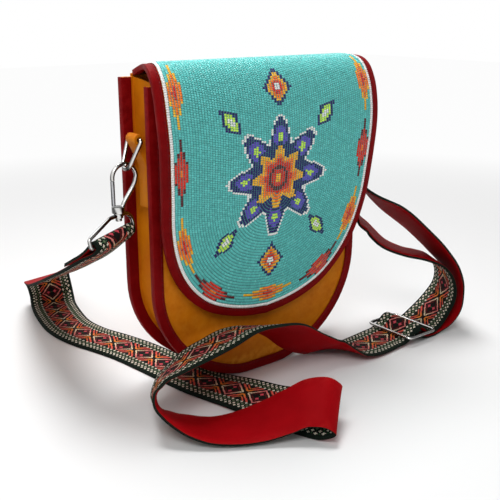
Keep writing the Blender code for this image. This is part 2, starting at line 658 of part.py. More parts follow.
def build_ring(label, side):
    """The triangular ring, with its origin on the bar that turns in the tab."""
    foot = Vector((RING_FOOT_X - RING_BAR_X, 0, RING_FOOT_Z - RING_BAR_Z))
    drop = foot.length
    way = foot.normalized()
    loop = arc((RING_BAR_HALF - RING_CORNER, RING_CORNER), RING_CORNER, -90, 0, 5)
    loop += arc((0.0, drop - RING_FOOT_HALF), RING_FOOT_HALF, 15, 165, 10)
    loop += arc((-RING_BAR_HALF + RING_CORNER, RING_CORNER), RING_CORNER, 180, 270, 5)
    points = [Vector((side * v * way.x, u, v * way.z)) for u, v in loop]
    ring = wire_curve(label + "_ring", points, WIRE_RADIUS, NICKEL, cyclic=True)
    ring.location = (side * RING_BAR_X, 0, RING_BAR_Z)
    return ring


def hook_line():
    """The hook's wire in its own plane (out from the swivel toward the bag, up), from the nose to the collar."""
    nose_x = HOOK_ARC_X - HOOK_ARC_RADIUS
    line = [(nose_x, HOOK_NOSE_Z)]
    line += arc((HOOK_ARC_X, HOOK_ARC_Z), HOOK_ARC_RADIUS, 180, 0, 18)
    line += spline([(HOOK_ARC_X + HOOK_ARC_RADIUS, HOOK_ARC_Z), (0.0123, 0.0135), (0.0080, 0.0070),
                    (0.0040, 0.0015), (0.0028, -0.0010)], 3)[1:]
    return line


def build_hook(label, side):
    """The snap hook: bent wire, collar and the swivel stem with its head, as one piece."""
    base = Vector((side * HOOK_X, 0, HOOK_Z))
    points = [Vector((-side * x, 0, z)) for x, z in hook_line()]
    hook = wire_curve(label + "_hook", points, HOOK_WIRE_RADIUS, NICKEL)
    hook.location = base
    hook = as_mesh(hook)
    collar = cylinder(label + "_collar", COLLAR_RADIUS, COLLAR_HEIGHT, base - Vector((0, 0, COLLAR_HEIGHT / 2)),
                      (0, 0, 1), NICKEL, CUTTERS)
    stem_top = base.z - COLLAR_HEIGHT
    stem = cylinder(label + "_stem", STEM_RADIUS, STEM_LENGTH + 0.001,
                    (base.x, 0, stem_top - STEM_LENGTH / 2 + 0.0005), (0, 0, 1), NICKEL, CUTTERS)
    head = cylinder(label + "_stem_head", STEM_HEAD_RADIUS, STEM_HEAD_HEIGHT,
                    (base.x, 0, stem_top - STEM_LENGTH), (0, 0, 1), NICKEL, CUTTERS)
    for piece in (collar, stem, head):
        combine(hook, piece, "UNION")
    return hook


def build_gate(label, side):
    """The sprung gate, with its origin on its pivot at the collar."""
    x = side * (HOOK_X - (HOOK_ARC_X - HOOK_ARC_RADIUS))
    length = HOOK_NOSE_Z - GATE_FOOT_Z - LAYER_GAP
    gate = wire_curve(label + "_gate", [(0, 0, -0.0014), (0, 0, length)], WIRE_RADIUS, NICKEL)
    gate.location = (x, 0, HOOK_Z + GATE_FOOT_Z)
    return gate


def build_eye(label, side, bar, way):
    """The strap eye: a trapezoid of wire with a bored boss that the hook's stem turns in."""
    bar, way = Vector(bar), unit(way)
    boss_z = HOOK_Z - COLLAR_HEIGHT - LAYER_GAP - EYE_BOSS_HEIGHT / 2
    top = Vector((side * HOOK_X, 0, boss_z))
    half = STRAP_WIDTH / 2 + STRAP_SIDE_PLAY + WIRE_RADIUS
    flat = Vector((way.x, way.y, 0)).normalized()
    rise = top - bar
    rise = (rise - way * rise.dot(way)).normalized() * EYE_SHOULDER
    corners = [
        bar - way * half, bar + way * half, bar + way * half + rise,
        top + flat * EYE_TOP_HALF, top - flat * EYE_TOP_HALF, bar - way * half + rise,
    ]
    points = []
    for k, corner in enumerate(corners):
        before = (corners[k - 1] - corner).normalized()
        after = (corners[(k + 1) % 6] - corner).normalized()
        for t in (0.0, 0.33, 0.67, 1.0):
            points.append(corner + (before * (1 - t) ** 2 + after * t ** 2) * EYE_BEND)
    eye = as_mesh(wire_curve(label + "_eye", points, WIRE_RADIUS, NICKEL, cyclic=True))
    boss = cylinder(label + "_boss", EYE_BOSS_RADIUS, EYE_BOSS_HEIGHT, top, (0, 0, 1), NICKEL, CUTTERS)
    bore = cylinder(label + "_bore", STEM_RADIUS + STEM_PLAY, 2 * EYE_BOSS_HEIGHT, top, (0, 0, 1), NICKEL, CUTTERS)
    combine(eye, boss, "UNION")
    combine(eye, bore, "DIFFERENCE")
    return eye


def build_slider():
    """The strap slider: a wire frame with a middle bar."""
    middle = Vector(SLIDER_AT)
    long_half = SLIDER_LENGTH / 2
    wide_half = STRAP_WIDTH / 2 + STRAP_SIDE_PLAY + WIRE_RADIUS
    corner = 0.0030
    loop = []
    for sx, sy, start in ((1, 1, 0), (-1, 1, 90), (-1, -1, 180), (1, -1, 270)):
        loop += arc((sx * (long_half - corner), sy * (wide_half - corner)), corner, start, start + 90, 4)
    frame = wire_curve("slider", [Vector((u, v, 0)) for u, v in loop], WIRE_RADIUS, NICKEL, cyclic=True)
    frame.location = middle
    frame = as_mesh(frame)
    bar = cylinder("slider_bar", WIRE_RADIUS, 2 * wide_half, middle, (0, 1, 0), NICKEL, CUTTERS, sides=16)
    combine(frame, bar, "UNION")
    return frame


def bar_turn(middle, first, second, angles):
    """Points of the strap's middle line round a bar: first points at angle 0, and second is the way on there."""
    reach = WIRE_RADIUS + WIRE_PLAY + STRAP_THICKNESS / 2
    out = []
    for degrees in angles:
        a = math.radians(degrees)
        out.append(Vector(middle) + (first * math.cos(a) - second * math.sin(a)) * reach)
    return out


def route_frames():
    """Every (middle, way across) of the strap, in order, before smoothing."""
    def stations(route):
        return [(Vector(row[:3]) * 0.001, unit(row[3:])) for row in route]

    left_way = unit(LEFT_BAR_WAY)
    run = Vector(LEFT_RUN_WAY)
    run = (run - left_way * run.dot(left_way)).normalized()
    out = run.cross(left_way)
    left = [(p, left_way) for p in bar_turn(LEFT_BAR, out, run, range(180, -1, -30))]
    right_way = unit(RIGHT_BAR_WAY)
    up = (Vector((0, 0, 1)) - right_way * right_way.z).normalized()
    toward = right_way.cross(up)
    right = [(p, right_way) for p in bar_turn(RIGHT_BAR, -toward, -up, range(0, 121, 30))]
    across = Vector((0, 1, 0))
    turned = bar_turn(SLIDER_AT, Vector((0, 0, -1)), Vector((1, 0, 0)), range(0, 211, 30))
    end = [(p, across) for p in turned]
    first_run = left[-1:] + stations(ROUTE_TO_RIGHT_EYE)
    tail = []
    reach = 2 * (WIRE_RADIUS + WIRE_PLAY) + STRAP_THICKNESS
    near = STRAP_THICKNESS + WIRE_PLAY
    samples = smooth_frames(first_run, 12)
    travelled = 0.0
    for (p, w, n), (q, _, _) in zip(samples, samples[1:]):
        height = max(near, reach - travelled / 0.012 * (reach - near))
        if travelled > 0.003:
            tail.append((p - n * height, w, travelled))
        travelled += (q - p).length
        if travelled > SEWN_TAIL:
            break
    picked = [tail[0]]
    for item in tail:
        if item[2] - picked[-1][2] > 0.004:
            picked.append(item)
    folded = [(p, w) for p, w, _ in reversed(picked)]
    return folded + left + stations(ROUTE_TO_RIGHT_EYE) + right + stations(ROUTE_TO_SLIDER) + end


def smooth_frames(frames, steps):
    """Frames (middle, way across, pattern normal) along a smooth curve through the given frames."""
    joined = spline([(*p, *(w * 0.001)) for p, w in frames], steps)
    middles = [Vector(row[:3]) for row in joined]
    out = []
    for i, row in enumerate(joined):
        go = (middles[min(i + 1, len(middles) - 1)] - middles[max(i - 1, 0)]).normalized()
        w = Vector(row[3:])
        w = (w - go * w.dot(go)).normalized()
        out.append((middles[i], w, go.cross(w)))
    return out


def lifted(p, w, n):
    """Raise a frame until the strap's section is clear of the ground."""
    lowest = p.z - abs(w.z) * STRAP_WIDTH / 2 - abs(n.z) * STRAP_THICKNESS / 2
    return Vector((p.x, p.y, p.z - min(lowest, 0.0)))


def build_strap():
    """The woven strap as one strip, folded round both eyes and the slider's bar."""
    sections = []
    for p, w, n in smooth_frames(route_frames(), STRAP_STEPS):
        p = lifted(p, w, n)
        side, face = w * STRAP_WIDTH / 2, n * STRAP_THICKNESS / 2
        sections.append([p - side - face, p + side - face, p + side + face, p - side + face])
    return loft("shoulder_strap", sections, WOVEN)


def hang_on(obj, parent):
    """Parent an object without moving it."""
    bpy.context.view_layer.update()
    obj.parent = parent
    obj.matrix_parent_inverse = parent.matrix_world.inverted()


def pivot(name, location):
    """An empty on a joint's axis."""
    empty = bpy.data.objects.new(name, None)
    empty.location = location
    PARTS.objects.link(empty)
    return empty


build_gusset()
build_panels()
build_bindings()
flap_pivot = pivot("flap_pivot", (0, HINGE_Y, HINGE_Z))
for flap_piece in build_flap() + build_motifs() + build_medallion():
    hang_on(flap_piece, flap_pivot)
for side_label, side_sign, eye_bar, eye_way in (("left", -1, LEFT_BAR, LEFT_BAR_WAY),
                                                ("right", 1, RIGHT_BAR, RIGHT_BAR_WAY)):
    build_tab(side_label, side_sign)
    build_ring(side_label, side_sign)
    build_eye(side_label, side_sign, eye_bar, eye_way)
    side_hook = build_hook(side_label, side_sign)
    hang_on(build_gate(side_label, side_sign), side_hook)
build_slider()
build_strap()

# Move the whole bag so that the origin is on the flat foot of the front binding
FRONT_FOOT = (BODY_HALF_DEPTH + BINDING_BACK) / 2
for piece in list(PARTS.objects) + list(CUTTERS.objects):
    if piece.parent is None:
        piece.location.y += FRONT_FOOT
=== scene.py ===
"""Looks of the beaded shoulder bag: beadwork, leather, nickel, woven strap, plain studio and camera."""
import math
from collections import Counter

import bmesh
import bpy
import numpy as np
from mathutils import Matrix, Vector


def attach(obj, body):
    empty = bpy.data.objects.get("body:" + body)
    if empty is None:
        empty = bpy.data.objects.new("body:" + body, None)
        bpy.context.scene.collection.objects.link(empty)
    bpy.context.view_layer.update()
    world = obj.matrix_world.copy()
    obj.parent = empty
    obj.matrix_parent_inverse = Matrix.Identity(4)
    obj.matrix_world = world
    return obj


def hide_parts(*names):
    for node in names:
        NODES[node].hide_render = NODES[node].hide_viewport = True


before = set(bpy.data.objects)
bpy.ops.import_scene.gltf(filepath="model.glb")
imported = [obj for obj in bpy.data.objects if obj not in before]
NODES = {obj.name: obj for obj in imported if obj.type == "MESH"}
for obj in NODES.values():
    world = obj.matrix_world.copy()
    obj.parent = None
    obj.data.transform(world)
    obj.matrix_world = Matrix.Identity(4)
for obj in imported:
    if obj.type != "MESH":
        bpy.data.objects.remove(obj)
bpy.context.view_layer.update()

# The bag's middle plane stands this far behind the origin
MIDDLE_Y = 0.0156

# Body sizes, as in the part
BODY_HALF_WIDTH = 0.0885
BODY_HALF_DEPTH = 0.018
ROUND_START = 0.075
ROUND_DROP = 0.0765
FRONT_TOP = 0.2060
BACK_TOP = 0.2098
ARC_STEPS = 96
LAYER_GAP = 0.0003
BINDING_LEATHER = 0.0007
BINDING_WIDTH = 0.0070

# Flap sizes, as in the part
FLAP_LEATHER = 0.0014
BEAD_LAYER = 0.0012
MOTIF_LAYER = 0.0005
LEATHER_TOP = MOTIF_LAYER + LAYER_GAP + BEAD_LAYER + LAYER_GAP
HINGE_Y = 0.01635
HINGE_Z = 0.2114
FLAP_PROFILE = [
    (0.0105, 0.2166), (0.0030, 0.2190), (-0.0060, 0.2202), (-0.0144, 0.2203), (-0.0209, 0.2187), (-0.0264, 0.2145),
    (-0.0319, 0.2045), (-0.0354, 0.1900), (-0.0369, 0.1740), (-0.0358, 0.1540), (-0.0337, 0.1330),
    (-0.0298, 0.1060), (-0.0264, 0.0810), (-0.0243, 0.0620), (-0.0236, 0.0432),
]
FLAP_SEAM_HALF_WIDTH = 0.0800
FLAP_BINDING_WIDTH = 0.0058
FLAP_HALF_WIDTHS = [
    (0.0180, 0.0820), (0.0280, 0.0868), (0.0385, 0.0900), (0.0500, 0.0912), (0.0665, 0.0918), (0.0855, 0.0910),
    (0.1130, 0.0895), (0.1335, 0.0878), (0.1490, 0.0840), (0.1625, 0.0779), (0.1770, 0.0666), (0.1875, 0.0530),
    (0.1947, 0.0352), (0.1986, 0.0183), (0.2005, 0.0),
]
MOTIF_LENGTH = 0.0400
MOTIF_WIDTH = 0.0105
BORDER_MOTIFS = [
    ("side_top", 0.0775, 0.0605, 0.0), ("side_high", 0.0777, 0.1088, 0.0),
    ("side_low", 0.0725, 0.1583, -17.0), ("corner", 0.0475, 0.1935, -56.0),
]
TIP_MOTIF_AT = 0.2065
STAR_AT = 0.121
STAR_POINTS = 8
STAR_EYE_RADIUS = 0.0085
STAR_RINGS = [("star_inner", 0.0180, 0.0040), ("star_outer", 0.0320, 0.0080), ("star_rim", 0.0345, 0.0080)]
STAR_RING_OVERLAP = 0.0003
LEAF_DISTANCE, LEAF_LENGTH, LEAF_WIDTH = 0.0565, 0.0230, 0.0110
BUD_DISTANCE, BUD_LENGTH, BUD_WIDTH = 0.0600, 0.0260, 0.0200

# Seed beads: spacing between rows and along a row, depth below the flap's outer face, and half sizes across and out
ROW_SPACING = 0.00202
BEAD_PITCH = 0.00146
BEAD_DEPTH, BEAD_RADIUS = 0.00105, (0.00098, 0.00086)
ALONG_JITTER, DEPTH_JITTER = 0.00004, 0.00003
EDGING_WIDTH = 0.0018
EDGING_INSET = FLAP_BINDING_WIDTH + LAYER_GAP
EDGING_DEPTH, EDGING_RADIUS = 0.00115, (0.00122, 0.00096)

# The bead field: how far in it begins, where it starts below the seam, where its mesh is split in two,
# and how near to the middle line a bead isn't mirrored
FIELD_INSET = EDGING_INSET + EDGING_WIDTH + LAYER_GAP
FIELD_START = 0.0052
FIELD_SPLIT = 0.096
MIDDLE_REACH = 0.0004

# Stitches: sizes, how deep their edges sink, how high they lie, how far in from a binding's inner edge
# their row runs, and where it starts below the flap's seam
STITCH_LENGTH, STITCH_GAP, STITCH_WIDTH = 0.0026, 0.0007, 0.00055
STITCH_SINK, STITCH_LIFT = 0.0001, 0.00002
STITCH_INSET, STITCH_START = 0.0014, 0.005

# The seam strip under the flap's hinge: half thickness, and how far it reaches over the back's top and the hinge
SEAM_HALF, SEAM_UNDER, SEAM_OVER = 0.0006, 0.0008, 0.0003

# Strap sizes and its route in millimetres: middle (x, y, z), then the way across the strap
STRAP_WIDTH = 0.0380
STRAP_THICKNESS = 0.0022
WIRE_RADIUS, WIRE_PLAY = 0.0013, 0.0004
WIRE_REACH = WIRE_RADIUS + WIRE_PLAY + STRAP_THICKNESS / 2
TAIL_START, TAIL_CLOSED, SEWN_TAIL, TAIL_STEP = 0.003, 0.012, 0.0320, 0.004
LEFT_BAR, LEFT_BAR_WAY = (-0.1090, -0.0044, 0.1140), (0.90, 0.37, 0.10)
LEFT_RUN_WAY = (-0.25, 0.75, -0.61)
RIGHT_BAR, RIGHT_BAR_WAY = (0.1100, -0.0024, 0.1140), (0.71, 0.63, -0.32)
SLIDER_AT = (0.1250, -0.0404, 0.0073)
ROUTE_TO_RIGHT_EYE = [
    (-112, 6.6, 103, 0.92, 0.33, 0.05), (-113, 27.6, 91, 0.95, 0.25, 0.05), (-111, 57.6, 77, 0.96, 0.20, 0.06),
    (-104, 91.6, 63, 0.97, 0.17, 0.06), (-95, 125.6, 50, 0.97, 0.14, 0.06), (-84, 159.6, 39, 0.98, 0.08, 0.06),
    (-73, 186.6, 29, 0.98, -0.02, 0.07), (-65, 201.6, 18, 0.97, -0.12, 0.08), (-63, 202.6, 8, 0.97, -0.18, 0.06),
    (-66, 193.6, 2, 0.98, -0.20, 0.02), (-74, 162.6, 1.2, 0.99, -0.10, 0), (-78, 132.6, 1.2, 0.99, 0.10, 0),
    (-75, 107.6, 1.2, 0.96, 0.25, 0), (-68, 85.6, 1.2, 0.94, 0.33, 0), (-62, 63.6, 1.2, 0.96, 0.25, 0),
    (-57, 33.6, 1.2, 0.98, 0.12, 0), (-53, 3.6, 1.2, 0.98, 0.12, 0), (-50, -15.4, 1.2, 0.98, 0.14, 0),
    (-47, -28.4, 2.2, 0.97, 0.18, 0.04), (-42, -48.4, 4, 0.96, 0.22, 0.10), (-37, -68.4, 5, 0.95, 0.24, 0.15),
    (-32, -87.4, 7, 0.90, 0.32, 0.26), (-29, -103.4, 9, 0.80, 0.44, 0.38), (-25, -114.9, 11, 0.72, 0.54, 0.43),
    (-23, -119.9, 15, 0.68, 0.59, 0.43), (-27, -117.4, 19.3, 0.64, 0.63, 0.44), (-35, -108.4, 19, 0.62, 0.67, 0.40),
    (-45, -100.4, 13, 0.62, 0.71, 0.32), (-58, -92.4, 7, 0.68, 0.68, 0.22), (-72, -84.4, 3.5, 0.68, 0.72, 0.06),
    (-87, -74.4, 3, 0.65, 0.75, -0.10), (-97, -64.4, 6, 0.62, 0.75, -0.22), (-104, -56.4, 10, 0.58, 0.73, -0.36),
    (-108, -49.4, 15, 0.50, 0.76, -0.44), (-107, -44.4, 21, 0.40, 0.82, -0.45), (-101, -42.4, 28, 0.35, 0.85, -0.38),
    (-90, -43.4, 34, 0.30, 0.92, -0.27), (-77, -44.4, 39, 0.20, 0.95, -0.20), (-59, -44.4, 43, 0, 0.97, -0.22),
    (-38, -40.4, 45, -0.12, 0.95, -0.26), (-17, -38.1, 42, -0.20, 0.93, -0.28), (4, -37.4, 34, -0.22, 0.85, -0.42),
    (25, -35.9, 19, -0.25, 0.80, -0.50), (43, -37.4, 10, -0.20, 0.85, -0.45), (57, -40.4, 5, -0.10, 0.95, -0.25),
    (73, -42.4, 3, 0.02, 0.99, -0.05), (90, -41.4, 2.5, 0, 1, 0), (101, -40.4, 2.8, 0, 1, 0),
    (108, -40.4, 3.3, 0, 1, 0), (111.5, -40.4, 4.3, 0, 1, 0), (115, -40.4, 6, 0, 1, 0), (118.5, -40.4, 9, 0, 1, 0),
    (122, -40.4, 11.8, 0, 1, 0), (125, -40.4, 12.7, 0, 1, 0), (128, -40.4, 12.2, 0, 1, 0),
    (131.5, -40.4, 9.8, 0, 1, 0), (135, -40.4, 6.6, 0, 1, 0), (138.5, -40.4, 4.6, 0, 1, 0),
    (142, -40.4, 4.6, 0, 1, 0), (152, -40.7, 9, 0.08, 0.99, 0.02), (162, -42.9, 19, 0.26, 0.96, 0.05),
    (168, -45.9, 32, 0.38, 0.92, 0.05), (166, -46.4, 45, 0.45, 0.89, 0), (158, -43.4, 56, 0.50, 0.86, -0.05),
    (146, -38.4, 62, 0.60, 0.79, -0.10), (133, -29.4, 66, 0.70, 0.70, -0.12), (121, -18.4, 73, 0.77, 0.62, -0.14),
    (114, -8.4, 84, 0.77, 0.61, -0.17), (109, -4.9, 90.5, 0.75, 0.62, -0.22), (106.8, -3.4, 98, 0.72, 0.63, -0.27),
    (106.3, -2, 106.4, 0.71, 0.63, -0.32),
]
ROUTE_TO_SLIDER = [
    (114.4, -8.3, 112.2, 0.71, 0.63, -0.32), (120, -14.4, 106.5, 0.68, 0.60, -0.40),
    (131, -24.4, 97, 0.62, 0.56, -0.52), (145, -35.4, 82, 0.60, 0.60, -0.50), (159, -44.4, 65, 0.52, 0.76, -0.38),
    (169, -49.4, 50, 0.48, 0.84, -0.22), (174, -50.4, 35, 0.45, 0.88, -0.10), (172, -48.4, 20, 0.32, 0.95, 0),
    (163, -43.9, 8, 0.15, 0.98, 0), (152, -40.8, 3, 0.02, 1, 0), (146, -40.4, 1.5, 0, 1, 0),
    (138.5, -40.4, 1.3, 0, 1, 0), (135, -40.4, 1.6, 0, 1, 0), (131, -40.4, 2.6, 0, 1, 0), (128, -40.4, 3.8, 0, 1, 0),
]


def place(name, data):
    """A new object in the scene."""
    obj = bpy.data.objects.new(name, data)
    bpy.context.scene.collection.objects.link(obj)
    return obj


def spline(points, steps):
    """Points of a smooth curve through the given points, of any dimension and spacing."""
    pts = [Vector(p) for p in points]
    gaps = [(b - a).length for a, b in zip(pts, pts[1:])]
    ways = [(b - a) / gap for a, b, gap in zip(pts, pts[1:], gaps)]
    slopes = [ways[0]]
    for i in range(1, len(pts) - 1):
        slopes.append((ways[i - 1] * gaps[i] + ways[i] * gaps[i - 1]) / (gaps[i - 1] + gaps[i]))
    slopes.append(ways[-1])
    out = []
    for i, gap in enumerate(gaps):
        for k in range(steps):
            t = k / steps
            out.append(pts[i] * (2 * t ** 3 - 3 * t * t + 1) + pts[i + 1] * (3 * t * t - 2 * t ** 3)
                       + slopes[i] * gap * (t ** 3 - 2 * t * t + t) + slopes[i + 1] * gap * (t ** 3 - t * t))
    out.append(pts[-1])
    return out


def distances(points):
    """The way travelled along a line at each of its points."""
    return np.concatenate([[0.0], np.cumsum(np.linalg.norm(np.diff(points, axis=0), axis=1))])


# ---- node materials


class Num:
    """A shader value that takes part in sums, so that patterns read like formulas."""

    def __init__(self, tree, socket):
        self.tree, self.socket = tree, socket

    def op(self, kind, *others):
        """A Math node of this value and the others."""
        node = self.tree.nodes.new("ShaderNodeMath")
        node.operation = kind
        for slot, value in zip(node.inputs, (self, *others)):
            if isinstance(value, Num):
                self.tree.links.new(value.socket, slot)
            else:
                slot.default_value = value
        return Num(self.tree, node.outputs[0])

    def __add__(self, other):
        return self.op("ADD", other)

    def __sub__(self, other):
        return self.op("SUBTRACT", other)

    def __rsub__(self, other):
        return (self * -1.0) + other

    def __mul__(self, other):
        return self.op("MULTIPLY", other)

    def __truediv__(self, other):
        return self.op("DIVIDE", other)

    def mod(self, other):
        """The rest after dividing, never below zero."""
        return self.op("FLOORED_MODULO", other)

    def within(self, low, high):
        """1 where this value lies between low and high, else 0."""
        return self.op("GREATER_THAN", low) * self.op("LESS_THAN", high)


class Look:
    """A Principled material with helpers for the nodes that feed it."""

    def __init__(self, name, roughness=0.5, metallic=0.0):
        self.material = bpy.data.materials.new(name)
        self.material.use_nodes = True
        self.tree = self.material.node_tree
        self.shader = self.tree.nodes["Principled BSDF"]
        self.shader.inputs["Roughness"].default_value = roughness
        self.shader.inputs["Metallic"].default_value = metallic

    def set(self, **values):
        """Set the shader's own sockets by name, with underscores for spaces."""
        for name, value in values.items():
            self.shader.inputs[name.replace("_", " ")].default_value = value
        return self

    def link(self, source, target):
        """Feed a socket from a value or another socket."""
        self.tree.links.new(source.socket if isinstance(source, Num) else source, target)

    def coords(self, kind="Object", stretch=(1, 1, 1)):
        """Texture coordinates, stretched per axis."""
        source = self.tree.nodes.new("ShaderNodeTexCoord").outputs[kind]
        mapping = self.tree.nodes.new("ShaderNodeMapping")
        mapping.inputs["Scale"].default_value = stretch
        self.link(source, mapping.inputs["Vector"])
        return mapping.outputs["Vector"]

    def noise(self, scale, detail=3.0, rough=0.55, coords=None):
        """Smooth random values from 0 to 1."""
        node = self.tree.nodes.new("ShaderNodeTexNoise")
        node.inputs["Scale"].default_value = scale
        node.inputs["Detail"].default_value = detail
        node.inputs["Roughness"].default_value = rough
        self.link(coords or self.coords(), node.inputs["Vector"])
        return Num(self.tree, node.outputs["Fac"])

    def cells(self, scale):
        """Distance to the middle of the nearest random cell."""
        node = self.tree.nodes.new("ShaderNodeTexVoronoi")
        node.feature = "F1"
        node.inputs["Scale"].default_value = scale
        self.link(self.coords(), node.inputs["Vector"])
        return Num(self.tree, node.outputs["Distance"])

    def island(self):
        """A steady random value for each separate piece of the mesh."""
        return Num(self.tree, self.tree.nodes.new("ShaderNodeNewGeometry").outputs["Random Per Island"])

    def edges(self):
        """Above one half on outer edges, below it in creases."""
        return Num(self.tree, self.tree.nodes.new("ShaderNodeNewGeometry").outputs["Pointiness"])

    def facing(self, way):
        """How much the surface faces a direction, from -1 to 1."""
        node = self.tree.nodes.new("ShaderNodeVectorMath")
        node.operation = "DOT_PRODUCT"
        self.link(self.tree.nodes.new("ShaderNodeNewGeometry").outputs["Normal"], node.inputs[0])
        node.inputs[1].default_value = way
        return Num(self.tree, node.outputs["Value"])

    def mix(self, factor, first, second):
        """A colour between two colours or colour sockets."""
        node = self.tree.nodes.new("ShaderNodeMix")
        node.data_type = "RGBA"
        self.link(factor, node.inputs[0])
        for slot, value in ((node.inputs[6], first), (node.inputs[7], second)):
            if isinstance(value, tuple):
                slot.default_value = (*value, 1.0)
            else:
                self.link(value, slot)
        return node.outputs[2]

    def ramp(self, value, low, high, out_low=0.0, out_high=1.0):
        """The value's range low to high turned into another range, clamped."""
        node = self.tree.nodes.new("ShaderNodeMapRange")
        self.link(value, node.inputs["Value"])
        for name, number in (("From Min", low), ("From Max", high), ("To Min", out_low), ("To Max", out_high)):
            node.inputs[name].default_value = number
        return Num(self.tree, node.outputs["Result"])

    def colour(self, socket):
        """Feed the base colour."""
        self.link(socket, self.shader.inputs["Base Color"])
        return self

    def rough(self, value):
        """Feed the roughness."""
        self.link(value, self.shader.inputs["Roughness"])
        return self

    def bump(self, height, distance, strength):
        """Small relief from a height value."""
        node = self.tree.nodes.new("ShaderNodeBump")
        node.inputs["Distance"].default_value = distance
        node.inputs["Strength"].default_value = strength
        self.link(height, node.inputs["Height"])
        self.link(node.outputs["Normal"], self.shader.inputs["Normal"])
        return self


def toned(colour, share):
    """A colour made darker or lighter by a share."""
    return tuple(c * share for c in colour)


def leather(name, body, dark, light, gloss, shine):
    """Fine-grained dyed leather: mottled colour, pebbled grain, soft creases and lighter worn edges."""
    look = Look(name)
    mottle = look.noise(34.0, 5.0, 0.6)
    pebble = look.cells(1500.0)
    fine = look.noise(2400.0, 2.0)
    base = look.mix(look.ramp(mottle, 0.35, 0.68), dark, body)
    worn = look.ramp(look.edges(), 0.52, 0.60) * look.ramp(look.noise(210.0, 3.0), 0.40, 0.62)
    base = look.mix(worn * 0.55, base, light)
    pores = look.ramp(pebble, 0.0, 0.45)
    base = look.mix(look.ramp(pebble, 0.10, 0.45, 0.0, 0.10), base, dark)
    look.colour(base)
    look.rough(look.ramp(mottle, 0.3, 0.7, gloss + 0.07, gloss - 0.05))
    crease = look.noise(90.0, 4.0, 0.5)
    look.bump(pores * 0.7 + fine * 0.3 + crease * 0.8, 0.00016, 0.55)
    look.set(Specular_IOR_Level=shine)
    return look.material


def bead_glass(name, body, spread=0.14):
    """Opaque glass beads: each bead a little lighter or darker, with a glossy fire-polished skin."""
    gloss = 0.16
    look = Look(name, gloss)
    light = tuple(min(c * (1 + spread) + 0.01, 1.0) for c in body)
    tone = look.island()
    look.colour(look.mix(tone, toned(body, 1 - spread), light))
    look.rough(look.ramp(tone, 0.0, 1.0, gloss, gloss + 0.12))
    look.bump(look.noise(900.0, 2.0), 0.00005, 0.35)
    look.set(Specular_IOR_Level=0.26)
    return look.material


def nickel(name, tint=(0.74, 0.73, 0.71), gloss=0.14):
    """Polished nickel plate with rub marks, tarnished creases and painted reflections: dark and lighter bands set by
    which way the surface faces, in place of a darker room's reflections.
    """
    look = Look(name, gloss, 1.0)
    smear = look.noise(160.0, 4.0)
    scratch = look.noise(420.0, 2.0, 0.5, look.coords("Object", (1, 1, 9)))
    base = look.mix(look.ramp(smear, 0.40, 0.75), tint, toned(tint, 0.80))
    worn = look.ramp(look.edges(), 0.44, 0.50, 0.65, 0.0)
    base = look.mix(worn, base, toned(tint, 0.45))
    # Painted reflection: the colour turns dark, then lighter again, by which way the surface faces, in place of a dark
    # room's reflections.
    facing = (look.facing((0.62, -0.48, 0.62)) - 0.12).op("ABSOLUTE")
    painted_dark_reflection = look.mix(look.ramp(facing, 0.18, 0.42), base, toned(tint, 0.13))
    look.colour(look.mix(look.ramp(facing, 0.72, 0.95, 0.0, 0.6), painted_dark_reflection, toned(tint, 0.75)))
    look.rough(look.ramp(scratch, 0.35, 0.70, gloss, gloss + 0.14))
    look.bump(scratch, 0.00004, 0.25)
    return look.material


def thread(name, body):
    """Twisted sewing thread."""
    look = Look(name, 0.62)
    ply = look.noise(2600.0, 1.0, 0.5)
    look.colour(look.mix(look.ramp(ply, 0.35, 0.65), toned(body, 0.7), body))
    look.bump(ply, 0.00008, 0.6)
    look.set(Specular_IOR_Level=0.2)
    return look.material


def ground_and_gap_shade(name, body):
    """The stitched ground under the beads, seen only between them: a darkened turquoise that is partly the thread's own
    colour and partly painted shade between the beads.
    """
    look = Look(name, 0.8)
    weave = look.cells(1300.0)
    look.colour(look.mix(look.ramp(weave, 0.0, 0.5), toned(body, 0.45), body))
    look.bump(weave, 0.00012, 0.6)
    return look.material


# The ribbon's pattern in millimetres: woven cells, repeat, and how far out the middle band and its border reach
CELL = 0.62
REPEAT = CELL * 37
BAND_HALF, BORDER_OUT = 9.3, 16.74
SPOT = CELL * 3

BLACK, MAROON = (0.006, 0.006, 0.006), (0.11, 0.006, 0.008)
CREAM, PINK = (0.86, 0.72, 0.48), (0.80, 0.21, 0.19)
ORANGE, CORAL = (0.88, 0.26, 0.035), (0.74, 0.105, 0.070)
ROSE, GREEN = (0.72, 0.080, 0.110), (0.030, 0.15, 0.055)
DOT_CREAM, DOT_DIM = (0.88, 0.81, 0.66), (0.13, 0.20, 0.10)
RIB_DARK, RIB_LIGHT = (0.003, 0.006, 0.004), (0.006, 0.013, 0.008)


def lattice(look, u, b):
    """The middle band: nested lines along crossing diagonals, with rose spots at every diamond's heart."""
    a = ((u + REPEAT / 2).mod(REPEAT) - REPEAT / 2).op("ABSOLUTE")
    side = b - a * 0.86
    reach = a + b
    colour = look.mix(side.within(-4.6, -3.7), BLACK, MAROON)
    colour = look.mix(side.within(1.3, 3.0), colour, look.mix(look.ramp(reach, 5.0, 9.0), ORANGE, CORAL))
    colour = look.mix(side.within(-2.6, -1.3), colour, look.mix(look.ramp(reach, 6.0, 15.0), CREAM, PINK))
    colour = look.mix(side.within(4.5, 5.6), colour, look.mix(look.ramp(a, 0.0, 3.0), ORANGE, CORAL))
    heart = (a - REPEAT / 2).op("ABSOLUTE")
    colour = look.mix((heart + (b - 2.7).op("ABSOLUTE")).op("LESS_THAN", 1.7), colour, ROSE)
    return look.mix((heart + b).op("LESS_THAN", 0.9), colour, GREEN)


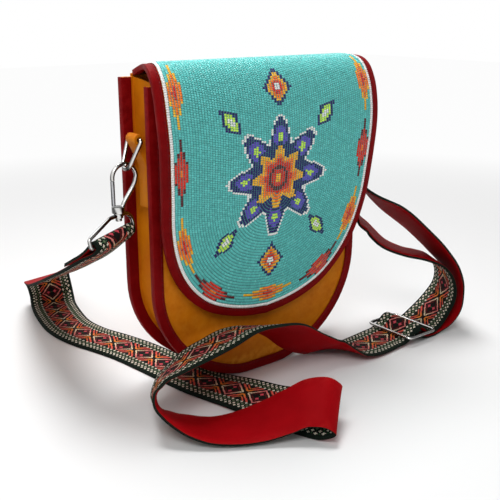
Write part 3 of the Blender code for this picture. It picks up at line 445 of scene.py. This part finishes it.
def dotted(look, u, b):
    """The border: a checkerboard of pale dots and small green ones, with one dim lane."""
    lane = ((b - BAND_HALF) / SPOT).op("FLOOR")
    checker = ((u / SPOT).op("FLOOR") + lane).mod(2.0).op("LESS_THAN", 0.5)
    from_dot = (u.mod(SPOT) - SPOT / 2).op("ABSOLUTE") + ((b - BAND_HALF).mod(SPOT) - SPOT / 2).op("ABSOLUTE")
    border = look.mix((1.0 - checker) * from_dot.op("LESS_THAN", 0.4), BLACK, GREEN)
    pale = look.mix(lane.within(0.5, 1.5), DOT_CREAM, DOT_DIM)
    return look.mix(checker * from_dot.op("LESS_THAN", 0.8), border, pale)


def woven(name):
    """Patterned jacquard ribbon: a lattice of diamonds between dotted borders and dark ribbed edges."""
    look = Look(name, 0.78)
    split = look.tree.nodes.new("ShaderNodeSeparateXYZ")
    look.link(look.tree.nodes.new("ShaderNodeUVMap").outputs["UV"], split.inputs[0])
    along, across = (Num(look.tree, split.outputs[axis]) * 1000.0 for axis in ("X", "Y"))
    u = (along / CELL).op("FLOOR") * CELL + CELL / 2
    b = ((across / CELL).op("FLOOR") * CELL + CELL / 2).op("ABSOLUTE")
    rib = look.mix((along * 1.15).mod(1.0).op("LESS_THAN", 0.5), RIB_DARK, RIB_LIGHT)
    outer = look.mix(b.within(BAND_HALF, BORDER_OUT), rib, dotted(look, u, b))
    whole = look.mix(b.op("LESS_THAN", BAND_HALF), outer, lattice(look, u, b))
    strand = look.noise(900.0, 2.0, 0.5, look.coords("UV", (1, 3, 1)))
    look.colour(look.mix(look.ramp(strand, 0.35, 0.7, 0.0, 0.22), whole, BLACK))
    warp, weft = (((way / CELL).mod(1.0) - 0.5).op("ABSOLUTE") for way in (along, across))
    look.bump((1.0 - warp) * 0.6 + (1.0 - weft) * 0.6, 0.00022, 0.8)
    look.set(Specular_IOR_Level=0.08)
    return look.material


GOLD = leather("gold_leather_look", (0.70, 0.215, 0.002), (0.54, 0.140, 0.0015), (0.84, 0.36, 0.03), 0.52, 0.12)
RED = leather("red_leather_look", (0.215, 0.0012, 0.0025), (0.145, 0.001, 0.002), (0.34, 0.012, 0.012), 0.50, 0.05)
STRAP_RED = leather("strap_leather_look", (0.33, 0.002, 0.005), (0.25, 0.0015, 0.0035), (0.46, 0.025, 0.02), 0.56, 0.02)
NICKEL = nickel("nickel_look")
GATE_NICKEL = nickel("gate_nickel_look", (0.52, 0.52, 0.54), 0.20)
RED_THREAD = thread("red_thread", (0.15, 0.001, 0.003))
WOVEN = woven("woven_look")
BEADS = {
    "turquoise": bead_glass("bead_turquoise", (0.115, 0.545, 0.520), 0.12),
    "white": bead_glass("bead_white", (0.86, 0.86, 0.84), 0.05),
    "yellow": bead_glass("bead_yellow", (0.95, 0.47, 0.020)),
    "orange": bead_glass("bead_orange", (0.92, 0.20, 0.008)),
    "red": bead_glass("bead_red", (0.66, 0.022, 0.006)),
    "maroon": bead_glass("bead_maroon", (0.105, 0.006, 0.012)),
    "navy": bead_glass("bead_navy", (0.016, 0.010, 0.120)),
    "violet": bead_glass("bead_violet", (0.115, 0.065, 0.50)),
    "lime": bead_glass("bead_lime", (0.58, 0.86, 0.10)),
}


# ---- CAD nodes that stay, with softened edges


def dress(name, material, round_edge=0.0):
    """Give a CAD node its material, joined corners and soft edges."""
    node = NODES[name]
    node.data.materials.clear()
    node.data.materials.append(material)
    node.data.shade_smooth()
    weld = node.modifiers.new("weld", "WELD")
    weld.merge_threshold = 0.000002
    if round_edge:
        bevel = node.modifiers.new("soft_edges", "BEVEL")
        bevel.width = round_edge
        bevel.segments = 2
        bevel.limit_method = "ANGLE"
        bevel.angle_limit = math.radians(40)
        bevel.use_clamp_overlap = True
    split = node.modifiers.new("crisp", "EDGE_SPLIT")
    split.split_angle = math.radians(38)
    split.use_edge_sharp = False


for label in ("gusset", "front_panel", "back_panel", "flap_panel", "left_tab", "right_tab"):
    dress(label, GOLD, 0.00022)
for label in ("front_binding", "back_binding", "flap_binding"):
    dress(label, RED, 0.00028)
for side in ("left", "right"):
    dress(side + "_ring", NICKEL)
    dress(side + "_hook", NICKEL, 0.0003)
    dress(side + "_eye", NICKEL, 0.0002)
    dress(side + "_gate", GATE_NICKEL, 0.0002)
dress("slider", NICKEL)
# The ground's dark teal is partly thread colour and partly painted shade in the gaps between the beads.
dress("bead_field", ground_and_gap_shade("turquoise_ground_and_gap_shade", (0.048, 0.27, 0.25)))


# ---- the flap's surface


def flap_line():
    """The flap's outer face in the YZ plane: points, the way inward and lengths along it."""
    first = (FLAP_PROFILE[0][0] - HINGE_Y, FLAP_PROFILE[0][1] - HINGE_Z)
    length = math.hypot(*first)
    depth = LEATHER_TOP + FLAP_LEATHER / 2
    start = (HINGE_Y + first[1] / length * depth, HINGE_Z - first[0] / length * depth)
    points = spline([start] + FLAP_PROFILE, 4)
    ways, lengths = [], [0.0]
    for i, p in enumerate(points):
        way = (points[min(i + 1, len(points) - 1)] - points[max(i - 1, 0)]).normalized()
        ways.append(Vector((-way[1], way[0])))
        if i:
            lengths.append(lengths[-1] + (p - points[i - 1]).length)
    return points, ways, lengths


LINE_POINTS, LINE_WAYS, LINE_LENGTHS = flap_line()
FLAP_LENGTH = LINE_LENGTHS[-1]


def flap_frame(along):
    """Place on the flap's middle line: (y, z), the way inward and the way along, in the YZ plane."""
    spot = min(max(along, 0.0), FLAP_LENGTH)
    i = int(np.searchsorted(LINE_LENGTHS, spot, side="right")) - 1
    i = min(max(i, 0), len(LINE_LENGTHS) - 2)
    t = (spot - LINE_LENGTHS[i]) / (LINE_LENGTHS[i + 1] - LINE_LENGTHS[i])
    base = LINE_POINTS[i].lerp(LINE_POINTS[i + 1], t)
    inward = LINE_WAYS[i].lerp(LINE_WAYS[i + 1], t).normalized()
    onward = Vector((inward[1], -inward[0]))
    return base + onward * (along - spot), inward, onward


def on_flap(x, along, depth):
    """A point on the flap, a depth below its outer face."""
    base, inward, _ = flap_frame(along)
    y, z = base + inward * depth
    return Vector((x, y + MIDDLE_Y, z))


def flap_outline(steps=10):
    """The flap's right half outline as (half width, along), from the seam to the middle of the tip."""
    scale = FLAP_LENGTH / FLAP_HALF_WIDTHS[-1][0]
    return spline([(FLAP_SEAM_HALF_WIDTH, 0.0)] + [(w, a * scale) for a, w in FLAP_HALF_WIDTHS], steps)


OUTLINE = np.array([tuple(p) for p in flap_outline()])


def offset_row(inset):
    """The outline moved inward, without the parts that come nearer to the edge than that."""
    way = np.gradient(OUTLINE, axis=0)
    way /= np.linalg.norm(way, axis=1)[:, None]
    way[-1] = (-1.0, 0.0)
    row = OUTLINE + np.stack([-way[:, 1], way[:, 0]], axis=1) * inset
    whole = np.concatenate([OUTLINE, OUTLINE[::-1] * (-1, 1)])
    gap = np.array([np.min(np.linalg.norm(whole - p, axis=1)) for p in row])
    return row[(gap > inset - 0.0006) & (row[:, 0] > -0.0001)]


def walk(points, spacing, start=0.0):
    """Evenly spaced places along a line, each with the line's way there."""
    far = distances(points)
    marks = np.arange(start, far[-1], spacing)
    places, ahead, behind = (
        np.stack([np.interp(marks + shift, far, column) for column in points.T], axis=1)
        for shift in (0.0, 0.0005, -0.0005))
    ways = ahead - behind
    ways /= np.linalg.norm(ways, axis=1)[:, None] + 1e-12
    return places, ways


# ---- beads


def star_radius(radius, wave, angle):
    """Radius of a star outline at an angle."""
    return radius + wave * math.cos(STAR_POINTS * angle)


def diamond(x, along, middle, turn, length, width):
    """How far a place lies from a diamond's middle, lengthwise and sideways, as shares of its half sizes."""
    cos, sin = math.cos(turn), math.sin(turn)
    dx, da = x - middle[0], along - middle[1]
    across = dx * cos + da * sin
    down = -dx * sin + da * cos
    return abs(down) / (length / 2), abs(across) / (width / 2)


# How far a border motif reaches lengthwise in its middle lane of beads and in the lanes beside it
LANE_REACH = [1.05, 0.66, 0.34]
MOTIF_SPAN = 0.024
MOTIF_SPOTS = BORDER_MOTIFS + [("tip", 0.0, TIP_MOTIF_AT, 90.0)]

# Colours from a shape's middle outward, each up to a limit: shares of the shape's reach, but metres for the eye
OUTER = 9.0
FIRE = [(0.20, "red"), (0.56, "orange"), (OUTER, "yellow")]
EMBER = [(0.12, "orange"), (0.60, "red"), (OUTER, "maroon")]
LEAF = [(0.36, "white"), (0.72, "lime"), (OUTER, "navy")]
BUD = [(0.26, "white"), (0.46, "red"), (0.66, "orange"), (0.84, "yellow"), (OUTER, "navy")]
EYE = [(0.0028, "yellow"), (0.0062, "red"), (OUTER, "maroon")]
INNER = [(0.3, "red"), (0.62, "orange"), (OUTER, "yellow")]
PETAL = [(0.34, "navy"), (0.80, "violet"), (OUTER, "navy")]
PETAL_START, PETAL_SPOT = 0.016, (0.38, 0.62)
PETAL_HALF, PETAL_SPOT_HALF = 0.26, 0.10


def shade(rank, steps):
    """The colour of the first limit that the rank is below."""
    for limit, colour in steps:
        if rank < limit:
            return colour
    return steps[-1][1]


def border_bead(x, along, row, lanes):
    """The border motif that a bead belongs to, and its colour, or None."""
    for order, (name, out, at, turn) in enumerate(MOTIF_SPOTS):
        aside = abs(row - lanes[name])
        if aside >= len(LANE_REACH):
            continue
        for side, sign in (("_right", 1), ("_left", -1)):
            down, _ = diamond(x, along, (sign * out, at), -math.radians(turn) * sign, MOTIF_LENGTH, MOTIF_WIDTH)
            near = (out == 0 or x * sign > 0) and math.hypot(x - sign * out, along - at) < MOTIF_SPAN
            if near and down < LANE_REACH[aside]:
                colour = shade(down * 0.9 + aside * 0.17, EMBER if order % 2 else FIRE)
                return "motif_" + name + (side if out else ""), colour
    return None


def star_bead(x, along):
    """The part of the centre star that a bead belongs to, and its colour, or None."""
    radius, angle = math.hypot(x, STAR_AT - along), math.atan2(x, STAR_AT - along)
    if radius < STAR_EYE_RADIUS:
        return "star_eye", shade(radius, EYE)
    for name, reach, wave in STAR_RINGS:
        edge = star_radius(reach, wave, angle)
        if radius >= edge + STAR_RING_OVERLAP:
            continue
        if name == "star_inner":
            return name, shade((radius - STAR_EYE_RADIUS) / (edge - STAR_EYE_RADIUS), INNER)
        if name == "star_rim":
            return name, "white"
        rank = (radius - PETAL_START) / (edge - PETAL_START)
        spoke = abs(((angle / (2 * math.pi) * STAR_POINTS) + 0.5) % 1.0 - 0.5)
        if PETAL_SPOT[0] < rank < PETAL_SPOT[1] and spoke < PETAL_SPOT_HALF:
            return name, "lime"
        return name, shade(rank, PETAL) if spoke < PETAL_HALF else "navy"
    return None


def sprig_bead(x, along):
    """The leaf or bud round the star that a bead belongs to, and its colour, or None."""
    for k in range(4):
        turn = math.radians(45 + 90 * k)
        middle = (LEAF_DISTANCE * math.sin(turn), STAR_AT - LEAF_DISTANCE * math.cos(turn))
        down, across = diamond(x, along, middle, turn, LEAF_LENGTH, LEAF_WIDTH)
        if down + across * 0.86 < 1.08:
            return "star_leaf_%d" % (k + 1), shade(max(down, across) * 0.5 + (down + across) * 0.5, LEAF)
    for name, side in (("top", -1), ("foot", 1)):
        down, across = diamond(x, along, (0.0, STAR_AT + side * BUD_DISTANCE), 0.0, BUD_LENGTH, BUD_WIDTH)
        if down + across * 0.9 < 1.04:
            return "star_bud_" + name, shade(down + across * 0.9, BUD)
    return None


def owner(x, along, row, lanes):
    """Which CAD node a bead belongs to, and its colour, from its place and its row."""
    return (border_bead(x, along, row, lanes) or star_bead(x, along) or sprig_bead(x, along)
            or ("bead_field", "turquoise"))


# A bead's outline as (along, share of its radius), and the angles of its upper side
BEAD_ALONG = [(-0.00069, 0.42), (-0.00058, 0.80), (-0.00030, 1.0), (0.00030, 1.0), (0.00058, 0.80), (0.00069, 0.42)]
BEAD_ARC = [math.radians(v) for v in (-78, -27, 27, 78)]


def bead_mesh(name, beads, nodes=(), radius=BEAD_RADIUS):
    """One mesh of many beads on the flap. Each bead is (middle, way along, way across, way out, colour)."""
    shape = []
    for t, r in BEAD_ALONG:
        shape += [(t, math.sin(v) * radius[0] * r, math.cos(v) * radius[1] * r) for v in BEAD_ARC]
    shape = np.array(shape)
    per = len(BEAD_ARC)
    corners = [row * per + k for row in range(len(BEAD_ALONG) - 1) for k in range(per - 1)]
    quads = np.array([(a, a + per, a + per + 1, a + 1) for a in corners])
    middle, t, s, n = (np.array([b[k] for b in beads]) for k in range(4))
    points = (middle[:, None] + t[:, None] * shape[None, :, :1] + s[:, None] * shape[None, :, 1:2]
              + n[:, None] * shape[None, :, 2:3]).reshape(-1, 3)
    faces = (quads[None] + (np.arange(len(beads)) * len(shape))[:, None, None]).reshape(-1, 4)
    mesh = bpy.data.meshes.new(name)
    mesh.from_pydata(points.tolist(), [], faces.tolist())
    colours = sorted({b[4] for b in beads})
    for colour in colours:
        mesh.materials.append(BEADS[colour])
    index = np.repeat([colours.index(b[4]) for b in beads], len(quads))
    mesh.polygons.foreach_set("material_index", index.astype(np.int32))
    mesh.shade_smooth()
    obj = place(name, mesh)
    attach(obj, "flap")
    if nodes:
        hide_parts(*nodes)


def flap_bead(x, along, way, depth, colour):
    """A bead's place and directions on the flap."""
    _, inward, onward = flap_frame(along)
    out = -Vector((0, inward[0], inward[1]))
    t = Vector((way[0], 0, 0)) + Vector((0, onward[0], onward[1])) * way[1]
    s = out.cross(t).normalized()
    return tuple(on_flap(x, along, depth)), tuple(t.normalized()), tuple(s), tuple(out), colour


def build_beads():
    """Rows of beads that follow the flap's edge and close on its middle line, split by the CAD node below."""
    groups = {}
    rng = np.random.default_rng(11)
    edge = offset_row(FIELD_INSET)[::-1]
    rows = round(edge[:, 0].max() / ROW_SPACING)
    focus = edge[0, 1] - rows * ROW_SPACING
    heart = np.stack([np.zeros(len(edge)), np.minimum(edge[:, 1], focus)], axis=1)
    strung = [walk(heart + (edge - heart) * (1 - (k + 0.5) / rows), BEAD_PITCH, 0.5 * BEAD_PITCH * (k % 2))
              for k in range(rows)]
    lanes = {name: min(range(rows), key=lambda k: np.min(np.linalg.norm(strung[k][0] - (out, at), axis=1)))
             for name, out, at, _ in MOTIF_SPOTS}
    for k, (places, ways) in enumerate(strung):
        for (x, along), way in zip(places, ways):
            if along < FIELD_START:
                continue
            along_spot = along + rng.normal(0, ALONG_JITTER)
            for sign in ((1, -1) if x > MIDDLE_REACH else (1,)):
                node, colour = owner(sign * x, along, k, lanes)
                depth = BEAD_DEPTH + abs(rng.normal(0, DEPTH_JITTER))
                bead = flap_bead(sign * x, along_spot, (sign * way[0], way[1]), depth, colour)
                key = node if node != "bead_field" else ("field_upper" if along < FIELD_SPLIT else "field_lower")
                groups.setdefault(key, []).append(bead)
    for key, beads in groups.items():
        if key.startswith("field_"):
            bead_mesh("beads_" + key, beads)
        else:
            lead = Counter(bead[4] for bead in beads).most_common(1)[0][0]
            bead_mesh("beads_" + key, beads, [key])
    places, ways = walk(offset_row(EDGING_INSET + EDGING_WIDTH / 2), BEAD_PITCH)
    ring = [flap_bead(sign * x, along, (sign * way[0], way[1]), EDGING_DEPTH, "white")
            for (x, along), way in zip(places, ways) if along > FIELD_START for sign in (1, -1)]
    bead_mesh("beads_edging", ring, ["bead_edging"], EDGING_RADIUS)


build_beads()


# ---- stitching


def stitch_row(name, line, normals, body):
    """Short stitches along a 3D line, each a low rounded bar lying on the leather."""
    points, faces = [], []
    joined = np.concatenate([np.array([tuple(p) for p in line]), np.array([tuple(n) for n in normals])], axis=1)
    far = distances(joined[:, :3])
    start = STITCH_GAP
    while start + STITCH_LENGTH < far[-1]:
        here = len(points)
        for k, rise in enumerate((0.0, 0.75, 1.0, 0.75, 0.0)):
            mark = start + STITCH_LENGTH * k / 4
            row = [np.interp(mark, far, joined[:, c]) for c in range(6)]
            ahead = [np.interp(mark + 0.0004, far, joined[:, c]) for c in range(3)]
            p, n = Vector(row[:3]), Vector(row[3:]).normalized()
            t = (Vector(ahead) - p).normalized()
            s = n.cross(t).normalized()
            w = STITCH_WIDTH * (0.55 + 0.45 * min(rise * 1.4, 1.0))
            top = STITCH_WIDTH * 0.62 * rise
            points += [p + s * w * aside + n * height for aside, height in (
                (-0.5, -STITCH_SINK), (-0.32, top), (0.32, top), (0.5, -STITCH_SINK))]
        corners = [here + k * 4 + c for k in range(4) for c in range(3)]
        faces += [(a, a + 1, a + 5, a + 4) for a in corners]
        start += STITCH_LENGTH + STITCH_GAP
    mesh = bpy.data.meshes.new(name)
    mesh.from_pydata([tuple(p) for p in points], [], faces)
    mesh.materials.append(RED_THREAD)
    mesh.shade_smooth()
    obj = place(name, mesh)
    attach(obj, body)


def rim(inset, top):
    """Points (x, z) of the U-shaped outline, set in from the edge, from the left top to the right top."""
    half, drop = BODY_HALF_WIDTH - inset, ROUND_DROP - inset
    points = [(-half, top), (-half, (top + ROUND_START) / 2), (-half, ROUND_START)]
    for i in range(1, ARC_STEPS):
        angle = math.pi + math.pi * i / ARC_STEPS
        points.append((half * math.cos(angle), max(ROUND_START + drop * math.sin(angle), inset)))
    points += [(half, ROUND_START), (half, (top + ROUND_START) / 2), (half, top)]
    return points


def build_stitching():
    """Stitch rows near the inner edge of every binding."""
    for name, side, top in (("front", -1, FRONT_TOP), ("back", 1, BACK_TOP)):
        y = MIDDLE_Y + side * (BODY_HALF_DEPTH + STITCH_LIFT)
        line = [(x, y, z) for x, z in rim(BINDING_WIDTH - STITCH_INSET, top - 0.001)]
        stitch_row("stitches_" + name, line, [(0, side, 0)] * len(line), "bag")
    edge = offset_row(FLAP_BINDING_WIDTH - STITCH_INSET)
    edge = edge[edge[:, 1] > STITCH_START]
    full = [(x, a) for x, a in edge] + [(-x, a) for x, a in edge[::-1][1:]]
    line, normals = [], []
    for x, a in full:
        _, inward, _ = flap_frame(a)
        line.append(on_flap(x, a, LEATHER_TOP - LAYER_GAP - BINDING_LEATHER - STITCH_LIFT))
        normals.append((0, -inward[0], -inward[1]))
    stitch_row("stitches_flap", line, normals, "flap")


build_stitching()


def build_seam():
    """The turned edge of the flap's leather along its seam on the back's top."""
    points = [(sx * FLAP_SEAM_HALF_WIDTH, MIDDLE_Y + HINGE_Y + sy * SEAM_HALF, z)
              for z in (BACK_TOP - SEAM_UNDER, HINGE_Z + SEAM_OVER)
              for sx, sy in ((-1, -1), (1, -1), (1, 1), (-1, 1))]
    faces = [(3, 2, 1, 0), (4, 5, 6, 7), (0, 1, 5, 4), (1, 2, 6, 5), (2, 3, 7, 6), (3, 0, 4, 7)]
    mesh = bpy.data.meshes.new("flap_seam")
    mesh.from_pydata(points, [], faces)
    mesh.materials.append(GOLD)
    obj = place("flap_seam", mesh)
    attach(obj, "bag")


build_seam()


# ---- strap


def unit(values):
    """A direction of length one."""
    return Vector(values).normalized()


def bar_turn(middle, first, second, angles):
    """Points of the strap's middle line round a bar."""
    return [Vector(middle) + (first * math.cos(a) - second * math.sin(a)) * WIRE_REACH
            for a in map(math.radians, angles)]


def smooth_frames(frames, steps):
    """Frames (middle, way across, pattern normal) along a smooth curve through the given frames."""
    joined = spline([(*p, *(w * 0.001)) for p, w in frames], steps)
    middles = [Vector(row[:3]) for row in joined]
    out = []
    for i, row in enumerate(joined):
        go = (middles[min(i + 1, len(middles) - 1)] - middles[max(i - 1, 0)]).normalized()
        w = Vector(row[3:])
        w = (w - go * w.dot(go)).normalized()
        out.append((middles[i], w, go.cross(w)))
    return out


def route_frames():
    """Every (middle, way across) of the strap, in order, before smoothing."""
    def stations(route):
        return [(Vector(row[:3]) * 0.001, unit(row[3:])) for row in route]

    left_way = unit(LEFT_BAR_WAY)
    run = Vector(LEFT_RUN_WAY)
    run = (run - left_way * run.dot(left_way)).normalized()
    out = run.cross(left_way)
    left = [(p, left_way) for p in bar_turn(LEFT_BAR, out, run, range(180, -1, -30))]
    right_way = unit(RIGHT_BAR_WAY)
    up = (Vector((0, 0, 1)) - right_way * right_way.z).normalized()
    toward = right_way.cross(up)
    right = [(p, right_way) for p in bar_turn(RIGHT_BAR, -toward, -up, range(0, 121, 30))]
    across = Vector((0, 1, 0))
    end = [(p, across) for p in bar_turn(SLIDER_AT, Vector((0, 0, -1)), Vector((1, 0, 0)), range(0, 211, 30))]
    tail = []
    reach = 2 * (WIRE_RADIUS + WIRE_PLAY) + STRAP_THICKNESS
    near = STRAP_THICKNESS + WIRE_PLAY
    samples = smooth_frames(left[-1:] + stations(ROUTE_TO_RIGHT_EYE), 12)
    travelled = 0.0
    for (p, w, n), (q, _, _) in zip(samples, samples[1:]):
        height = max(near, reach - travelled / TAIL_CLOSED * (reach - near))
        if travelled > TAIL_START:
            tail.append((p - n * height, w, travelled))
        travelled += (q - p).length
        if travelled > SEWN_TAIL:
            break
    picked = [tail[0]]
    for item in tail:
        if item[2] - picked[-1][2] > TAIL_STEP:
            picked.append(item)
    folded = [(p, w) for p, w, _ in reversed(picked)]
    return folded + left + stations(ROUTE_TO_RIGHT_EYE) + right + stations(ROUTE_TO_SLIDER) + end


# Half section of the strap as (across, out): leather below, ribbon on top, both with soft edges
STRAP_SECTION = [
    (0.0190, -0.00085), (0.0190, -0.00020), (0.01880, -0.00002), (0.01835, 0.00010), (0.01830, 0.00075),
    (0.01795, 0.00105), (0.0140, 0.0011), (0.0070, 0.0011), (0.0, 0.0011),
]
STRAP_UNDER = [(0.0, -0.0011), (0.0120, -0.0011), (0.0186, -0.0011)]


def build_strap():
    """The strap: a red leather band with the patterned ribbon sewn on its outer side."""
    frames = smooth_frames(route_frames(), 6)
    section = STRAP_UNDER + STRAP_SECTION
    ring = section + [(-x, h) for x, h in reversed(section[1:-1])]
    count = len(ring)
    ribbon_from = section.index(STRAP_SECTION[0])
    points, faces, kinds = [], [], []
    lengths = [0.0]
    for i, (p, w, n) in enumerate(frames):
        lowest = p.z - abs(w.z) * STRAP_WIDTH / 2 - abs(n.z) * STRAP_THICKNESS / 2
        p = Vector((p.x, p.y, p.z - min(lowest, 0.0)))
        if i:
            lengths.append(lengths[-1] + (p - before).length)
        before = p
        points += [p + w * x + n * h + Vector((0, MIDDLE_Y, 0)) for x, h in ring]
    for row in range(len(frames) - 1):
        for k in range(count):
            a, b = row * count + k, row * count + (k + 1) % count
            faces.append((a, b, b + count, a + count))
            kinds.append(0 if ribbon_from <= k < count - ribbon_from else 1)
    last = (len(frames) - 1) * count
    faces += [tuple(reversed(range(count))), tuple(range(last, last + count))]
    kinds += [1, 1]
    mesh = bpy.data.meshes.new("strap_band")
    mesh.from_pydata([tuple(p) for p in points], [], faces)
    mesh.materials.append(WOVEN)
    mesh.materials.append(STRAP_RED)
    mesh.polygons.foreach_set("material_index", kinds)
    uv = mesh.uv_layers.new(name="UVMap").data
    for loop in mesh.loops:
        row, k = divmod(loop.vertex_index, count)
        uv[loop.index].uv = (lengths[row], ring[k][0])
    mesh.update()
    mesh.shade_smooth()
    mesh.set_sharp_from_angle(angle=math.radians(50))
    obj = place("strap_band", mesh)
    shape = bmesh.new()
    shape.from_mesh(mesh)
    bmesh.ops.recalc_face_normals(shape, faces=shape.faces)
    shape.to_mesh(mesh)
    shape.free()
    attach(obj, "bag")
    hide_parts("shoulder_strap")


build_strap()


# ---- studio


# The surround's light, where the floor fades to white, and the lamps as name, place, diameter and power
AMBIENT = 0.30
FADE_START, FADE_END = 0.30, 0.95
FLOOR_REACH = 3.0
AIM = Vector((0.0, 0.0, 0.10))
LAMPS = [("key", (-0.52, -0.50, 0.80), 0.45, 3.7), ("fill", (1.3, -0.7, 0.8), 1.1, 2.5),
         ("top", (0.0, 0.25, 0.95), 0.5, 8.0)]

# The photo's camera
CAMERA_AT = (-0.3381, -0.4361 + MIDDLE_Y, 0.2516)
CAMERA_YAW, CAMERA_PITCH = math.radians(38.0), math.radians(16.84)
SENSOR_MM, FOCAL_PIXELS, PICTURE_PIXELS = 36.0, 803.0, 500.0


def seen(tree):
    """1 for what the camera sees, also in metal and through glass."""
    path = tree.nodes.new("ShaderNodeLightPath")
    first, second, third = (Num(tree, path.outputs[n])
                            for n in ("Is Camera Ray", "Is Glossy Ray", "Is Transmission Ray"))
    return first.op("MAXIMUM", second).op("MAXIMUM", third)


def floor_look():
    """Pale floor that keeps the shadow near the bag and fades to white far from it."""
    look = Look("floor_look", 0.9)
    look.set(Base_Color=(0.80, 0.80, 0.80, 1.0), Specular_IOR_Level=0.1)
    length = look.tree.nodes.new("ShaderNodeVectorMath")
    length.operation = "LENGTH"
    look.link(look.coords(), length.inputs[0])
    far = look.ramp(Num(look.tree, length.outputs["Value"]), FADE_START, FADE_END)
    white = look.tree.nodes.new("ShaderNodeEmission")
    mix = look.tree.nodes.new("ShaderNodeMixShader")
    look.link(far.op("SMOOTH_MIN", 1.0, 0.2) * seen(look.tree), mix.inputs[0])
    look.link(look.shader.outputs[0], mix.inputs[1])
    look.link(white.outputs[0], mix.inputs[2])
    look.link(mix.outputs[0], look.tree.nodes["Material Output"].inputs[0])
    return look.material


def build_floor():
    """A wide pale floor."""
    mesh = bpy.data.meshes.new("floor")
    corners = [(x * FLOOR_REACH, y * FLOOR_REACH, 0) for x, y in ((-1, -1), (1, -1), (1, 1), (-1, 1))]
    mesh.from_pydata(corners, [], [(0, 1, 2, 3)])
    mesh.materials.append(floor_look())
    floor = place("floor", mesh)


def build_world():
    """A surround that looks white and lights the bag faintly."""
    world = bpy.data.worlds.new("studio")
    bpy.context.scene.world = world
    world.use_nodes = True
    back = world.node_tree.nodes["Background"]
    back.inputs["Color"].default_value = (1, 1, 1, 1)
    strength = seen(world.node_tree) * (1.0 - AMBIENT) + AMBIENT
    world.node_tree.links.new(strength.socket, back.inputs["Strength"])


def build_lamps():
    """Soft round lamps that look at the bag."""
    for name, at, size, power in LAMPS:
        data = bpy.data.lights.new(name, "AREA")
        data.shape = "DISK"
        data.size = size
        data.energy = power
        lamp = place(name, data)
        lamp.location = at
        lamp.rotation_euler = (AIM - Vector(at)).to_track_quat("-Z", "Y").to_euler()


def build_camera():
    """The photo's camera, as fitted."""
    data = bpy.data.cameras.new("camera")
    data.sensor_width = SENSOR_MM
    data.lens = FOCAL_PIXELS / PICTURE_PIXELS * SENSOR_MM
    data.clip_start, data.clip_end = 0.01, 20.0
    forward = Vector((math.sin(CAMERA_YAW) * math.cos(CAMERA_PITCH), math.cos(CAMERA_YAW) * math.cos(CAMERA_PITCH),
                      -math.sin(CAMERA_PITCH)))
    camera = place("camera", data)
    camera.location = CAMERA_AT
    camera.rotation_euler = forward.to_track_quat("-Z", "Y").to_euler()
    bpy.context.scene.camera = camera


build_floor()
build_world()
build_lamps()
bpy.context.scene.view_settings.view_transform = "Standard"
build_camera()
